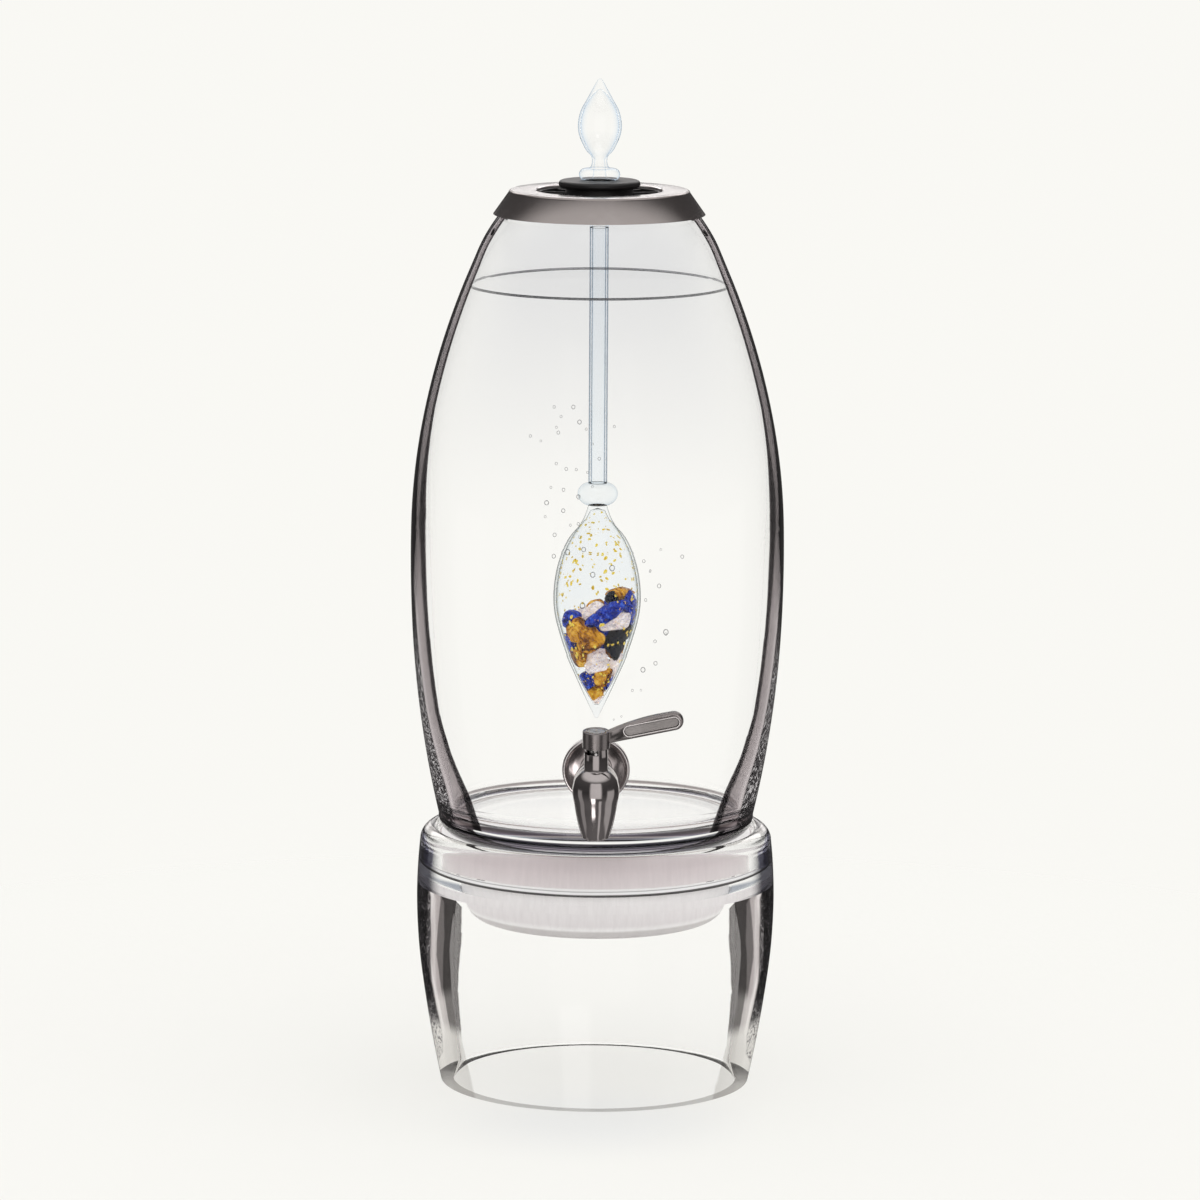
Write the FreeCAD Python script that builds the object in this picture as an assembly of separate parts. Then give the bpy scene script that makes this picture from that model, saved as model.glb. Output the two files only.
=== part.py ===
import FreeCAD, Part
import math
import os

# Glass water dispenser: a clear jar with a tap stands on a frosted bowl, which hangs in a clear
# ring stand. A glass wand with tumbled stones hangs through the lid into the water.
# Millimetres, +Z up, origin at the centre of the stand's foot, the tap towards -Y.

V = FreeCAD.Vector
AXIS_X = V(1, 0, 0)
AXIS_Z = V(0, 0, 1)

# clearances
SEAT_GAP = 0.1
SLIP_GAP = 0.8
LIFT_GAP = 0.4
TURN_GAP = 0.05
PIN_GAP = 0.3

# ring stand: (height, outside radius) and (height, how much wider than the ledge's hole inside)
STAND_OUTSIDE = [(0.0, 93.4), (42.0, 101.5), (91.0, 107.6), (118.0, 108.3), (148.0, 106.4)]
STAND_INSIDE = [(10.0, 0.5), (48.0, 3.9), (85.0, 4.8), (124.0, 2.6)]
STAND_FOOT_STEP = 4.0
STAND_RIM_ROUND = 8.5
STAND_LIP_ROUND = 3.2
LEDGE_HEIGHT = 136.0
LEDGE_THICK = 7.0

# frosted bowl
COLLAR_HEIGHT = 16.4
COLLAR_RADIUS = 94.5
COLLAR_ROUND = 1.0
COLLAR_FLARE = 2.8
BASIN_RADIUS = 80.2
BASIN_TAPER = 1.2
BASIN_DEPTH = 36.0
BASIN_CORNER = 12.0
BASIN_WALL = 5.0

# jar: (height above its base, outside radius, wall)
JAR_STATIONS = [
    (126.5, 111.4, 12.2),
    (247.5, 106.1, 6.8),
    (341.0, 77.9, 3.2),
    (365.0, 66.8, 3.0),
]
JAR_BASE_FLAT = 85.0
JAR_HEEL_RADIUS = 95.3
JAR_HEEL_HEIGHT = 12.0
JAR_FLOOR = 15.4
JAR_FLOOR_CORNER = 9.0
JAR_FLOOR_RADIUS = 87.0
JAR_MOUTH_RADIUS = 53.0
JAR_MOUTH_WALL = 3.0
JAR_HEIGHT = 385.0

# lid: a pressed cone with a flat top, its liner and its seal
LID_SKIRT_RADIUS = 63.5
LID_SKIRT_DROP = 9.4
LID_TOP_RADIUS = 54.4
LID_SHEET = 1.2
LID_EDGE_ROUND = 1.6
LID_OPENING = 37.6
LID_LIP_DROP = 3.4
LINER_FLANGE = 1.4
LINER_WALL = 2.0
LINER_DEPTH = 14.0
LINER_WEB_DROP = 5.0
LINER_WEB = 2.0
LINER_HOLE = 33.0
SEAL_THICK = 2.4

# wand seat and stopper
SEAT_PLATE = 1.5
SEAT_RIM_HEIGHT = 4.6
SEAT_RIM_WALL = 1.6
SEAT_BOSS_RADIUS = 21.5
SEAT_BOSS_HEIGHT = 6.6
SEAT_RIBS = 12
SEAT_RIB_THICK = 1.4
SEAT_RIB_HEIGHT = 2.6
STOPPER_FLANGE_RADIUS = 24.5
STOPPER_FLANGE_THICK = 4.4
STOPPER_UNDERCUT = 1.0
STOPPER_NECK_RADIUS = 19.5
STOPPER_BARREL_RADIUS = 13.0
STOPPER_BARREL_DEPTH = 16.0
STOPPER_BARREL_TAPER = 1.2

# wand: (height above the stopper, radius) of the flame, and the drop from its neck downwards
TUBE_RADIUS = 5.7
TUBE_WALL = 1.4
FLAME_FOOT_RADIUS = 12.3
FLAME_FOOT_HEIGHT = 7.0
FLAME_NECK_RADIUS = 4.5
FLAME = [(12.4, 4.5), (18.9, 8.8), (30.5, 13.0), (41.0, 11.6), (49.0, 7.4)]
FLAME_HEIGHT = 60.6
FLAME_TIP_ROUND = 1.8
FLAME_TIP_START = 30.0
FLAME_HOLLOW_ROUND = 7.0
FLAME_HOLLOW_START = 60.0
FLAME_WALL = 1.5
FLAME_TAIL = 29.3
STEM_LENGTH = 156.0
BEAD_RADIUS = 12.2
BEAD_HEIGHT = 13.6
BEAD_NECK_RADIUS = 5.6
BEAD_SHOULDER_RADIUS = 10.5
BEAD_SHOULDER_HEIGHT = 2.6
DROP_LENGTH = 126.0
DROP = [(8.4, 8.5), (22.8, 18.6), (54.5, 26.5), (86.5, 19.2), (105.5, 10.9)]
DROP_TIP_ROUND = 1.6
DROP_WALL = 1.6
DROP_SOLID_TIP = 8.0
DROP_SHOULDER = 6.0
DROP_FLOOR_RADIUS = 1.6

# stones in the drop: layers from below, each a ring of stones about a middle stone
STONE_GAP = 0.6
STONE_TILT = 8.0
STONE_MIDDLE = 0.76
STONE_BEVEL = 0.62
STONE_STRETCH = 1.3
# height above the hollow's floor, half height, ring radius, radial half width
STONE_LAYERS = [
    (5.6, 3.4, 0.0, 2.7),
    (16.6, 4.9, 0.0, 6.6),
    (27.6, 4.8, 7.8, 5.5),
    (38.7, 5.0, 12.2, 5.9),
    (50.3, 5.2, 14.9, 6.3),
    (61.8, 4.8, 15.6, 6.2),
]
STONES_ROUND = [1, 1, 3, 4, 5, 3]
STONE_FIRST_ANGLE = [0.0, 0.0, -90.0, -45.0, -54.0, -72.0]
STONE_STEP_ANGLE = [0.0, 0.0, 120.0, 90.0, 72.0, 69.0]
STONE_COLOURS = [
    ["clear"],
    ["amber"],
    ["blue", "amber", "clear"],
    ["dark", "blue", "blue", "amber"],
    ["clear", "dark", "amber", "blue", "amber"],
    ["blue", "blue", "amber"],
]
MIDDLE_COLOURS = [None, None, None, "clear", "blue", None]

# tap: its own frame has the shank along Y, the wall at y = 0 and the spout at y = -TAP_REACH
TAP_RISE = 58.4
TAP_LEAN = 6.5
TAP_REACH = 46.0
SHANK_RADIUS = 8.0
SHANK_PROUD = 3.0
SHANK_HOLE_GAP = 0.6
GASKET_RADIUS = 18.0
GASKET_THICK = 1.8
GASKET_BITE = 6.0
ROSETTE_RADIUS = 20.0
ROSETTE_RIM = 4.0
ROSETTE_RIM_WIDTH = 2.4
ROSETTE_FLOOR = 2.0
ROSETTE_DISH_RADIUS = 10.6
BARREL_RADIUS = 13.0
BARREL_WAIST = 9.8
BARREL_WAIST_OUT = 14.7
BARREL_SWELL_BACK = 11.0
INNER_GASKET_RADIUS = 14.0
INNER_GASKET_THICK = 2.5
WASHER_RADIUS = 15.0
WASHER_THICK = 1.5
NUT_ACROSS_FLATS = 24.0
NUT_THICK = 7.0
NUT_SIDES = 6
NUT_CHAMFER_SLOPE = 0.6
NECK_RADIUS = 7.0
NECK_TOP = 26.2
SPOUT_SHOULDER = 13.0
# (height, outside radius) of the spout below its shoulder
SPOUT_CURVE = [(8.6, 11.7), (3.0, 13.5), (-10.5, 12.3)]
SPOUT_DROP = 28.5
SPOUT_LIP_RADIUS = 8.2
SPOUT_LIP_WALL = 1.4
SPOUT_BORE = 4.6
PLUG_RADIUS = 5.4
PLUG_FOOT = 8.0
PLUG_SHOULDER = 20.0
PLUG_BORE = 3.4
PLUG_PORT = 3.2
PLUG_STEM_RADIUS = 4.0
PLUG_STEM_FLATS = 6.8
PLUG_STEM_TOP = 33.8
RING_WIRE = 0.75
RING_SIDES = 8
RING_HEIGHTS = [8.0, 13.0]
WATERWAY = 3.6
CIRCLIP_THICK = 1.0
CIRCLIP_DEPTH = 0.75
CIRCLIP_INSIDE = 4.4
CIRCLIP_OPENING = 40.0
STOP_PIN_RADIUS = 0.8
STOP_PIN_HEIGHT = 24.2
STOP_PIN_REACH = 7.5
STOP_PIN_ROOT = 2.0
LEVER_TURN = 90.0

# lever: hub, paddle and screw
HUB_RADIUS = 8.0
HUB_HEIGHT = 10.0
HUB_ROUND = 0.6
PADDLE_THICK = 4.4
PADDLE_ROUND = 1.3
PADDLE_ROOT_LOW = 28.8
PADDLE_ROOT_HIGH = 36.0
PADDLE_ROOT_X = 5.2
PADDLE_END_X = 45.2
PADDLE_END_Z = 43.0
PADDLE_END_RADIUS = 5.6
PADDLE_CROWN = 1.6
PANEL_LENGTH = 26.6
PANEL_RADIUS = 3.0
PANEL_DEPTH = 0.6
PANEL_DROP = 0.6
SCREW_HEAD_RADIUS = 5.3
SCREW_HEAD_THICK = 1.2
SCREW_SINK = 0.2
SCREW_HOLE_GAP = 0.3
SCREW_SHANK_RADIUS = 1.8
SCREW_LENGTH = 8.0
SCREW_SLOT_LENGTH = 3.2
SCREW_SLOT_WIDTH = 0.9
SCREW_SLOT_DEPTH = 0.6

# places that follow from the sizes
LEDGE_HOLE = BASIN_RADIUS + SLIP_GAP
STAND_FOOT_INSIDE = LEDGE_HOLE + STAND_FOOT_STEP
RECESS_RADIUS = COLLAR_RADIUS + SLIP_GAP
STAND_TOP = STAND_OUTSIDE[-1][0] + STAND_RIM_ROUND
BOWL_SEAT = LEDGE_HEIGHT + SEAT_GAP
JAR_BASE = BOWL_SEAT + COLLAR_HEIGHT + SEAT_GAP
MOUTH_TOP = JAR_BASE + JAR_HEIGHT
TAP_HEIGHT = JAR_BASE + TAP_RISE
MOUTH_INSIDE = JAR_MOUTH_RADIUS - JAR_MOUTH_WALL
PLATE_UNDERSIDE = MOUTH_TOP + SEAT_GAP + SEAL_THICK + LINER_FLANGE
LID_TOP = PLATE_UNDERSIDE + LID_SHEET
LINER_RADIUS = MOUTH_INSIDE - SLIP_GAP
LINER_FLANGE_RADIUS = LID_TOP_RADIUS - LID_EDGE_ROUND - SEAT_GAP
WEB_TOP = PLATE_UNDERSIDE - LINER_WEB_DROP
SEAT_RADIUS = LID_OPENING - LIFT_GAP
STOPPER_SEAT = WEB_TOP + SEAT_BOSS_HEIGHT
STOPPER_TOP = STOPPER_SEAT + STOPPER_UNDERCUT + STOPPER_FLANGE_THICK
TAIL_END = STOPPER_TOP - FLAME_TAIL
STEM_END = TAIL_END - STEM_LENGTH
BEAD_END = STEM_END - BEAD_HEIGHT
DROP_TIP = BEAD_END - DROP_LENGTH
HOLLOW_FLOOR = DROP_TIP + DROP_SOLID_TIP
PLUG_HOLE = PLUG_RADIUS + TURN_GAP
HUB_FOOT = NECK_TOP + PIN_GAP
HUB_TOP = HUB_FOOT + HUB_HEIGHT


class Outline:
    """A half section in the XZ plane, drawn edge by edge and turned about Z."""

    def __init__(self, radius, height):
        self.first = V(radius, 0, height)
        self.last = self.first
        self.edges = []

    def line(self, radius, height):
        end = V(radius, 0, height)
        self.edges.append(Part.makeLine(self.last, end))
        self.last = end
        return self

    def arc(self, centre_r, centre_z, radius, start, stop):
        """Round stretch about a centre, from one angle to another, in degrees."""
        points = []
        for angle in (start, (start + stop) / 2, stop):
            turn = math.radians(angle)
            points.append(V(centre_r + radius * math.cos(turn), 0, centre_z + radius * math.sin(turn)))
        if (points[0] - self.last).Length > 1e-6:
            self.line(points[0].x, points[0].z)
        self.edges.append(Part.Arc(*points).toShape())
        self.last = points[-1]
        return self

    def bow(self, through_r, through_z, radius, height):
        """Arc through one point to another."""
        end = V(radius, 0, height)
        self.edges.append(Part.Arc(self.last, V(through_r, 0, through_z), end).toShape())
        self.last = end
        return self

    def curve(self, stations):
        """Smooth run of arcs from the last point through (radius, height) stations."""
        points = [self.last]
        for radius, height in stations:
            points.append(V(radius, 0, height))
        self.edges.extend(smooth_run(points))
        self.last = points[-1]
        return self

    def turned(self):
        if (self.first - self.last).Length > 1e-6:
            self.line(self.first.x, self.first.z)
        face = Part.Face(Part.Wire(self.edges))
        return face.revolve(V(0, 0, 0), AXIS_Z, 360)


def unit(vector):
    return vector * (1 / vector.Length)


def mirrored(heading, chord):
    """The heading at the other end of the circle's arc that spans a chord."""
    along = unit(chord)
    return along * (2 * along.dot(heading)) - heading


def arc_from(start, heading, end):
    """Arc that leaves a point along a heading and ends at another point."""
    chord = end - start
    along = unit(chord)
    rise = heading - along * along.dot(heading)
    if rise.Length < 1e-6:
        return Part.makeLine(start, end)
    middle = (start + end) * 0.5 + rise * (chord.Length / 2 / (1 + along.dot(heading)))
    return Part.Arc(start, middle, end).toShape()


def smooth_run(points):
    """Tangent arcs through the points, two for each span."""
    chords = [end - start for start, end in zip(points, points[1:])]
    if len(chords) == 1:
        return [Part.makeLine(points[0], points[1])]
    headings = []
    for before, after in zip(chords, chords[1:]):
        headings.append(unit(unit(before) * after.Length + unit(after) * before.Length))
    headings.insert(0, mirrored(headings[0], chords[0]))
    headings.append(mirrored(headings[-1], chords[-1]))
    edges = []
    for index, chord in enumerate(chords):
        leave = headings[index]
        arrive = headings[index + 1]
        spread = 2 * (1 - leave.dot(arrive))
        lean = chord.dot(leave + arrive)
        reach = chord.dot(chord) / (2 * lean)
        if spread > 1e-9:
            reach = (math.sqrt(lean * lean + spread * chord.dot(chord)) - lean) / spread
        start = points[index]
        end = points[index + 1]
        joint = (start + leave * reach + end - arrive * reach) * 0.5
        edges.append(arc_from(start, leave, joint))
        edges.append(arc_from(joint, mirrored(leave, joint - start), end))
    return edges


def on_round(centre_z, radius, degrees):
    """Point of a ball on the axis, as (radius, height)."""
    turn = math.radians(degrees)
    return radius * math.cos(turn), centre_z + radius * math.sin(turn)


def disc(radius, low, high):
    """Upright cylinder about the Z axis."""
    return Part.makeCylinder(radius, high - low, V(0, 0, low))


def ring(inside, outside, low, high):
    return disc(outside, low, high).cut(disc(inside, low, high))


def export(name, shape):
    shape.exportStep(f"parts/{name}.step")


# stand and bowl
def make_stand():
    top = STAND_TOP
    rim_centre = STAND_OUTSIDE[-1][1] - STAND_RIM_ROUND
    outline = Outline(STAND_FOOT_INSIDE, 0).line(STAND_OUTSIDE[0][1], 0)
    outline.curve([(r, z) for z, r in STAND_OUTSIDE[1:]])
    outline.arc(rim_centre, top - STAND_RIM_ROUND, STAND_RIM_ROUND, 0, 90)
    outline.arc(RECESS_RADIUS + STAND_LIP_ROUND, top - STAND_LIP_ROUND, STAND_LIP_ROUND, 90, 180)
    outline.line(RECESS_RADIUS, LEDGE_HEIGHT)
    outline.line(LEDGE_HOLE, LEDGE_HEIGHT)
    outline.line(LEDGE_HOLE, LEDGE_HEIGHT - LEDGE_THICK)
    inside = [(LEDGE_HOLE + step, z) for z, step in reversed(STAND_INSIDE)]
    outline.line(*inside[0])
    outline.curve(inside[1:])
    outline.curve([(STAND_FOOT_INSIDE, 0)])
    return outline.turned()


def make_bowl():
    top = BOWL_SEAT + COLLAR_HEIGHT
    floor = top - BASIN_DEPTH - COLLAR_HEIGHT
    foot = BASIN_RADIUS - BASIN_TAPER
    inside = BASIN_RADIUS - BASIN_WALL
    outline = Outline(0, floor).line(foot - BASIN_CORNER, floor)
    outline.arc(foot - BASIN_CORNER, floor + BASIN_CORNER, BASIN_CORNER, -90, 0)
    outline.line(BASIN_RADIUS, BOWL_SEAT)
    outline.line(COLLAR_RADIUS, BOWL_SEAT)
    outline.arc(COLLAR_RADIUS - COLLAR_ROUND, top - COLLAR_ROUND, COLLAR_ROUND, 0, 90)
    outline.line(inside + COLLAR_FLARE, top)
    outline.line(inside, BOWL_SEAT)
    inner_corner = BASIN_CORNER - BASIN_WALL
    outline.arc(foot - BASIN_CORNER, floor + BASIN_CORNER, inner_corner, 0, -90)
    outline.line(0, floor + BASIN_WALL)
    return outline.turned()


# jar
def jar_outside_points():
    points = [V(JAR_HEEL_RADIUS, 0, JAR_BASE + JAR_HEEL_HEIGHT)]
    for height, radius, wall in JAR_STATIONS:
        points.append(V(radius, 0, JAR_BASE + height))
    points.append(V(JAR_MOUTH_RADIUS, 0, MOUTH_TOP - JAR_MOUTH_WALL / 2))
    return points


def make_jar_blank():
    """The jar before its tap hole is drilled."""
    floor = JAR_BASE + JAR_FLOOR
    corner = JAR_FLOOR_CORNER
    outline = Outline(0, JAR_BASE).line(JAR_BASE_FLAT, JAR_BASE)
    heel_r = JAR_BASE_FLAT + (JAR_HEEL_RADIUS - JAR_BASE_FLAT) * math.sin(math.pi / 4)
    heel_z = JAR_BASE + JAR_HEEL_HEIGHT * (1 - math.cos(math.pi / 4))
    outline.bow(heel_r, heel_z, JAR_HEEL_RADIUS, JAR_BASE + JAR_HEEL_HEIGHT)
    outline.curve([(p.x, p.z) for p in jar_outside_points()[1:]])
    rim = JAR_MOUTH_WALL / 2
    outline.arc(JAR_MOUTH_RADIUS - rim, MOUTH_TOP - rim, rim, 0, 180)
    inside = [(r - wall, JAR_BASE + z) for z, r, wall in reversed(JAR_STATIONS)]
    inside.append((JAR_FLOOR_RADIUS, floor + corner))
    outline.curve(inside)
    outline.arc(JAR_FLOOR_RADIUS - corner, floor + corner, corner, 0, -90)
    outline.line(0, floor)
    return outline.turned()


def radius_at_tap():
    """Outside radius of the jar at the tap's height."""
    outside = Part.Wire(smooth_run(jar_outside_points()))
    level = Part.makeLine(V(0, 0, TAP_HEIGHT), V(2 * JAR_BASE, 0, TAP_HEIGHT))
    return outside.distToShape(level)[1][0][0].x


def place_on_wall(shape):
    """Move a shape from the tap's frame to the jar's wall, tipped with the glass."""
    placed = shape.copy()
    placed.rotate(V(0, 0, 0), AXIS_X, TAP_LEAN)
    placed.translate(V(0, -radius_at_tap(), TAP_HEIGHT))
    return placed


def on_shank(shape):
    """Turn a shape from the Z axis to the shank's axis, +Z outwards."""
    turned = shape.copy()
    turned.rotate(V(0, 0, 0), AXIS_X, 90)
    return turned


def on_spout(shape):
    """Move a shape from the Z axis to the spout's upright axis."""
    moved = shape.copy()
    moved.translate(V(0, -TAP_REACH, 0))
    return moved


def wall_thickness(jar_blank):
    """Thickness of the glass along the shank's axis."""
    shank_line = place_on_wall(Part.makeLine(V(0, -1, 0), V(0, GASKET_RADIUS * 2, 0)))
    return shank_line.common(jar_blank).Length


def make_jar(jar_blank, wall):
    drill = disc(SHANK_RADIUS + SHANK_HOLE_GAP, -wall - GASKET_RADIUS, GASKET_RADIUS)
    return jar_blank.cut(place_on_wall(on_shank(drill)))


# lid
def make_lid_shell():
    foot = MOUTH_TOP - LID_SKIRT_DROP
    top = LID_TOP
    sheet = LID_SHEET
    outline = Outline(LID_SKIRT_RADIUS - sheet, foot).line(LID_SKIRT_RADIUS, foot)
    outline.line(LID_TOP_RADIUS, top - LID_EDGE_ROUND)
    outline.bow(
        LID_TOP_RADIUS - LID_EDGE_ROUND / 3,
        top - LID_EDGE_ROUND / 3,
        LID_TOP_RADIUS - LID_EDGE_ROUND,
        top,
    )
    outline.arc(LID_OPENING + sheet, top - sheet, sheet, 90, 180)
    outline.line(LID_OPENING, top - LID_LIP_DROP)
    outline.line(LID_OPENING + sheet, top - LID_LIP_DROP)
    outline.line(LID_OPENING + sheet, top - sheet)
    outline.line(LID_TOP_RADIUS - LID_EDGE_ROUND, top - sheet)
    return outline.turned()


def make_lid_liner():
    top = PLATE_UNDERSIDE
    inside = LINER_RADIUS - LINER_WALL
    web_low = WEB_TOP - LINER_WEB
    lip = LID_OPENING + LID_SHEET + SEAT_GAP
    outline = Outline(LINER_HOLE, web_low).line(inside, web_low)
    outline.line(inside, top - LINER_DEPTH)
    outline.line(LINER_RADIUS, top - LINER_DEPTH)
    outline.line(LINER_RADIUS, top - LINER_FLANGE)
    outline.line(LINER_FLANGE_RADIUS, top - LINER_FLANGE)
    outline.line(LINER_FLANGE_RADIUS, top)
    outline.line(inside - LINER_WALL, top)
    outline.line(inside - LINER_WALL, WEB_TOP)
    outline.line(LINER_HOLE, WEB_TOP)
    liner = outline.turned()
    return liner.cut(disc(lip, top - LID_LIP_DROP, top + 1))


def make_lid_seal():
    low = MOUTH_TOP + SEAT_GAP
    return ring(LINER_RADIUS, LINER_FLANGE_RADIUS, low, low + SEAL_THICK)


# wand
def make_wand_seat():
    floor = WEB_TOP + SEAT_GAP
    plate = floor + SEAT_PLATE
    rim_inside = SEAT_RADIUS - SEAT_RIM_WALL
    hole = STOPPER_BARREL_RADIUS
    outline = Outline(hole, floor).line(SEAT_RADIUS, floor)
    outline.line(SEAT_RADIUS, floor + SEAT_RIM_HEIGHT)
    outline.line(rim_inside, floor + SEAT_RIM_HEIGHT)
    outline.line(rim_inside, plate)
    outline.line(SEAT_BOSS_RADIUS, plate)
    outline.line(SEAT_BOSS_RADIUS - SEAT_PLATE, STOPPER_SEAT)
    outline.line(hole, STOPPER_SEAT)
    seat = outline.turned()
    rib_length = rim_inside - SEAT_BOSS_RADIUS + SEAT_PLATE
    rib = Part.makeBox(rib_length, SEAT_RIB_THICK, SEAT_RIB_HEIGHT)
    rib.translate(V(SEAT_BOSS_RADIUS - SEAT_PLATE / 2, -SEAT_RIB_THICK / 2, plate))
    ribs = []
    for index in range(SEAT_RIBS):
        turned = rib.copy()
        turned.rotate(V(0, 0, 0), AXIS_Z, 360 / SEAT_RIBS * (index + 0.5))
        ribs.append(turned)
    return seat.fuse(ribs).removeSplitter()


def make_stopper():
    low = STOPPER_SEAT
    flange = low + STOPPER_UNDERCUT
    half = STOPPER_FLANGE_THICK / 2
    barrel_end = STOPPER_BARREL_RADIUS - STOPPER_BARREL_TAPER
    outline = Outline(TUBE_RADIUS, low - STOPPER_BARREL_DEPTH)
    outline.line(barrel_end, low - STOPPER_BARREL_DEPTH)
    outline.line(STOPPER_BARREL_RADIUS, low - SEAT_BOSS_HEIGHT)
    outline.line(STOPPER_BARREL_RADIUS, low)
    outline.line(STOPPER_NECK_RADIUS, low)
    outline.line(STOPPER_NECK_RADIUS, flange)
    outline.arc(STOPPER_FLANGE_RADIUS - half, flange + half, half, -90, 90)
    outline.line(TUBE_RADIUS, STOPPER_TOP)
    return outline.turned()


def make_finial():
    """Hollow flame on a pressed foot, with the tail tube that goes through the stopper."""
    base = STOPPER_TOP
    foot_half = FLAME_FOOT_HEIGHT / 2
    tube_inside = TUBE_RADIUS - TUBE_WALL
    outline = Outline(tube_inside, TAIL_END).line(TUBE_RADIUS, TAIL_END)
    outline.line(TUBE_RADIUS, base)
    outline.line(FLAME_FOOT_RADIUS - foot_half, base)
    outline.arc(FLAME_FOOT_RADIUS - foot_half, base + foot_half, foot_half, -90, 90)
    flame = [(r, base + z) for z, r in FLAME]
    outline.line(FLAME_NECK_RADIUS + FLAME_WALL, base + FLAME_FOOT_HEIGHT)
    tip = base + FLAME_HEIGHT - FLAME_TIP_ROUND
    outline.curve(flame + [on_round(tip, FLAME_TIP_ROUND, FLAME_TIP_START)])
    outline.arc(0, tip, FLAME_TIP_ROUND, FLAME_TIP_START, 90)
    hollow_top = flame[-1][1] - FLAME_WALL - FLAME_HOLLOW_ROUND
    outline.line(0, hollow_top + FLAME_HOLLOW_ROUND)
    outline.arc(0, hollow_top, FLAME_HOLLOW_ROUND, 90, FLAME_HOLLOW_START)
    outline.curve([(r - FLAME_WALL, z) for r, z in reversed(flame[:-1])])
    outline.line(tube_inside, base)
    return outline.turned()


def make_stem():
    return ring(TUBE_RADIUS - TUBE_WALL, TUBE_RADIUS, STEM_END, TAIL_END)


def make_bead():
    middle = BEAD_END + BEAD_HEIGHT / 2
    outline = Outline(0, BEAD_END).line(BEAD_NECK_RADIUS, BEAD_END)
    shoulder = (BEAD_SHOULDER_RADIUS, BEAD_END + BEAD_SHOULDER_HEIGHT)
    outline.curve([shoulder, (BEAD_RADIUS, middle), (TUBE_RADIUS, STEM_END)])
    outline.line(0, STEM_END)
    return outline.turned()


def drop_outside():
    """(radius, height) stations of the drop from its tip to its neck."""
    points = [(DROP_TIP_ROUND, DROP_TIP + DROP_TIP_ROUND)]
    for down, radius in reversed(DROP):
        points.append((radius, BEAD_END - down))
    points.append((BEAD_NECK_RADIUS, BEAD_END))
    return points


def drop_hollow():
    """(radius, height) stations of the hollow, from the floor to the shoulder."""
    points = []
    for radius, height in drop_outside()[1:-1]:
        points.append((radius - DROP_WALL, height))
    return points


def make_drop():
    outside = Outline(0, DROP_TIP)
    outside.arc(0, DROP_TIP + DROP_TIP_ROUND, DROP_TIP_ROUND, -90, 0)
    outside.curve(drop_outside()[1:])
    outside.line(0, BEAD_END)
    hollow = drop_hollow()
    inside = Outline(0, HOLLOW_FLOOR).line(DROP_FLOOR_RADIUS, HOLLOW_FLOOR)
    inside.curve(hollow)
    inside.line(0, BEAD_END - DROP_SHOULDER)
    return outside.turned().cut(inside.turned())


def make_stone(half_r, half_t, half_z, tilt):
    """Tumbled stone: a block with all its edges broken, tilted."""
    stone = Part.makeBox(2 * half_r, 2 * half_t, 2 * half_z, V(-half_r, -half_t, -half_z))
    stone = stone.makeChamfer(min(half_r, half_t, half_z) * STONE_BEVEL, stone.Edges)
    stone.rotate(V(0, 0, 0), AXIS_X, tilt)
    return stone


def make_stones():
    """Stones in rings, sorted by colour."""
    piles = {"blue": [], "amber": [], "dark": [], "clear": []}
    for layer, (height, half_z, ring_radius, half_r) in enumerate(STONE_LAYERS):
        level = HOLLOW_FLOOR + height
        count = STONES_ROUND[layer]
        step = STONE_STEP_ANGLE[layer]
        half_t = half_r
        if count > 1:
            half_t = min(ring_radius * math.sin(math.radians(step / 2)) - STONE_GAP, half_r * STONE_STRETCH)
        for index in range(count):
            tilt = STONE_TILT * (1 if index % 2 else -1)
            stone = make_stone(half_r, half_t, half_z, tilt)
            stone.translate(V(ring_radius, 0, level))
            angle = STONE_FIRST_ANGLE[layer] + step * index
            stone.rotate(V(0, 0, 0), AXIS_Z, angle)
            piles[STONE_COLOURS[layer][index]].append(stone)
        if MIDDLE_COLOURS[layer]:
            half = (ring_radius - half_r) * STONE_MIDDLE
            stone = make_stone(half, half, min(half, half_z), 0)
            stone.translate(V(0, 0, level))
            piles[MIDDLE_COLOURS[layer]].append(stone)
    return piles


# tap
def make_rosette():
    back = GASKET_THICK
    front = back + ROSETTE_RIM
    floor = back + ROSETTE_FLOOR
    rim_round = ROSETTE_RIM_WIDTH / 2
    outline = Outline(SHANK_RADIUS + SLIP_GAP / 2, back).line(ROSETTE_RADIUS, back)
    outline.arc(ROSETTE_RADIUS - rim_round, front - rim_round, rim_round, 0, 180)
    outline.line(ROSETTE_DISH_RADIUS, floor)
    outline.line(SHANK_RADIUS + SLIP_GAP / 2, floor)
    return place_on_wall(on_shank(outline.turned()))


def make_outer_gasket(jar_blank):
    washer = ring(SHANK_RADIUS + SHANK_HOLE_GAP, GASKET_RADIUS, -GASKET_BITE, GASKET_THICK)
    return place_on_wall(on_shank(washer)).cut(jar_blank)


def make_inner_gasket(jar_blank, wall):
    back = -wall - INNER_GASKET_THICK
    washer = ring(SHANK_RADIUS + SHANK_HOLE_GAP, INNER_GASKET_RADIUS, back, -wall + GASKET_BITE)
    return place_on_wall(on_shank(washer)).cut(jar_blank)


def make_shank_washer(wall):
    face = -wall - INNER_GASKET_THICK
    washer = ring(SHANK_RADIUS + TURN_GAP, WASHER_RADIUS, face - WASHER_THICK, face)
    return place_on_wall(on_shank(washer))


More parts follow.
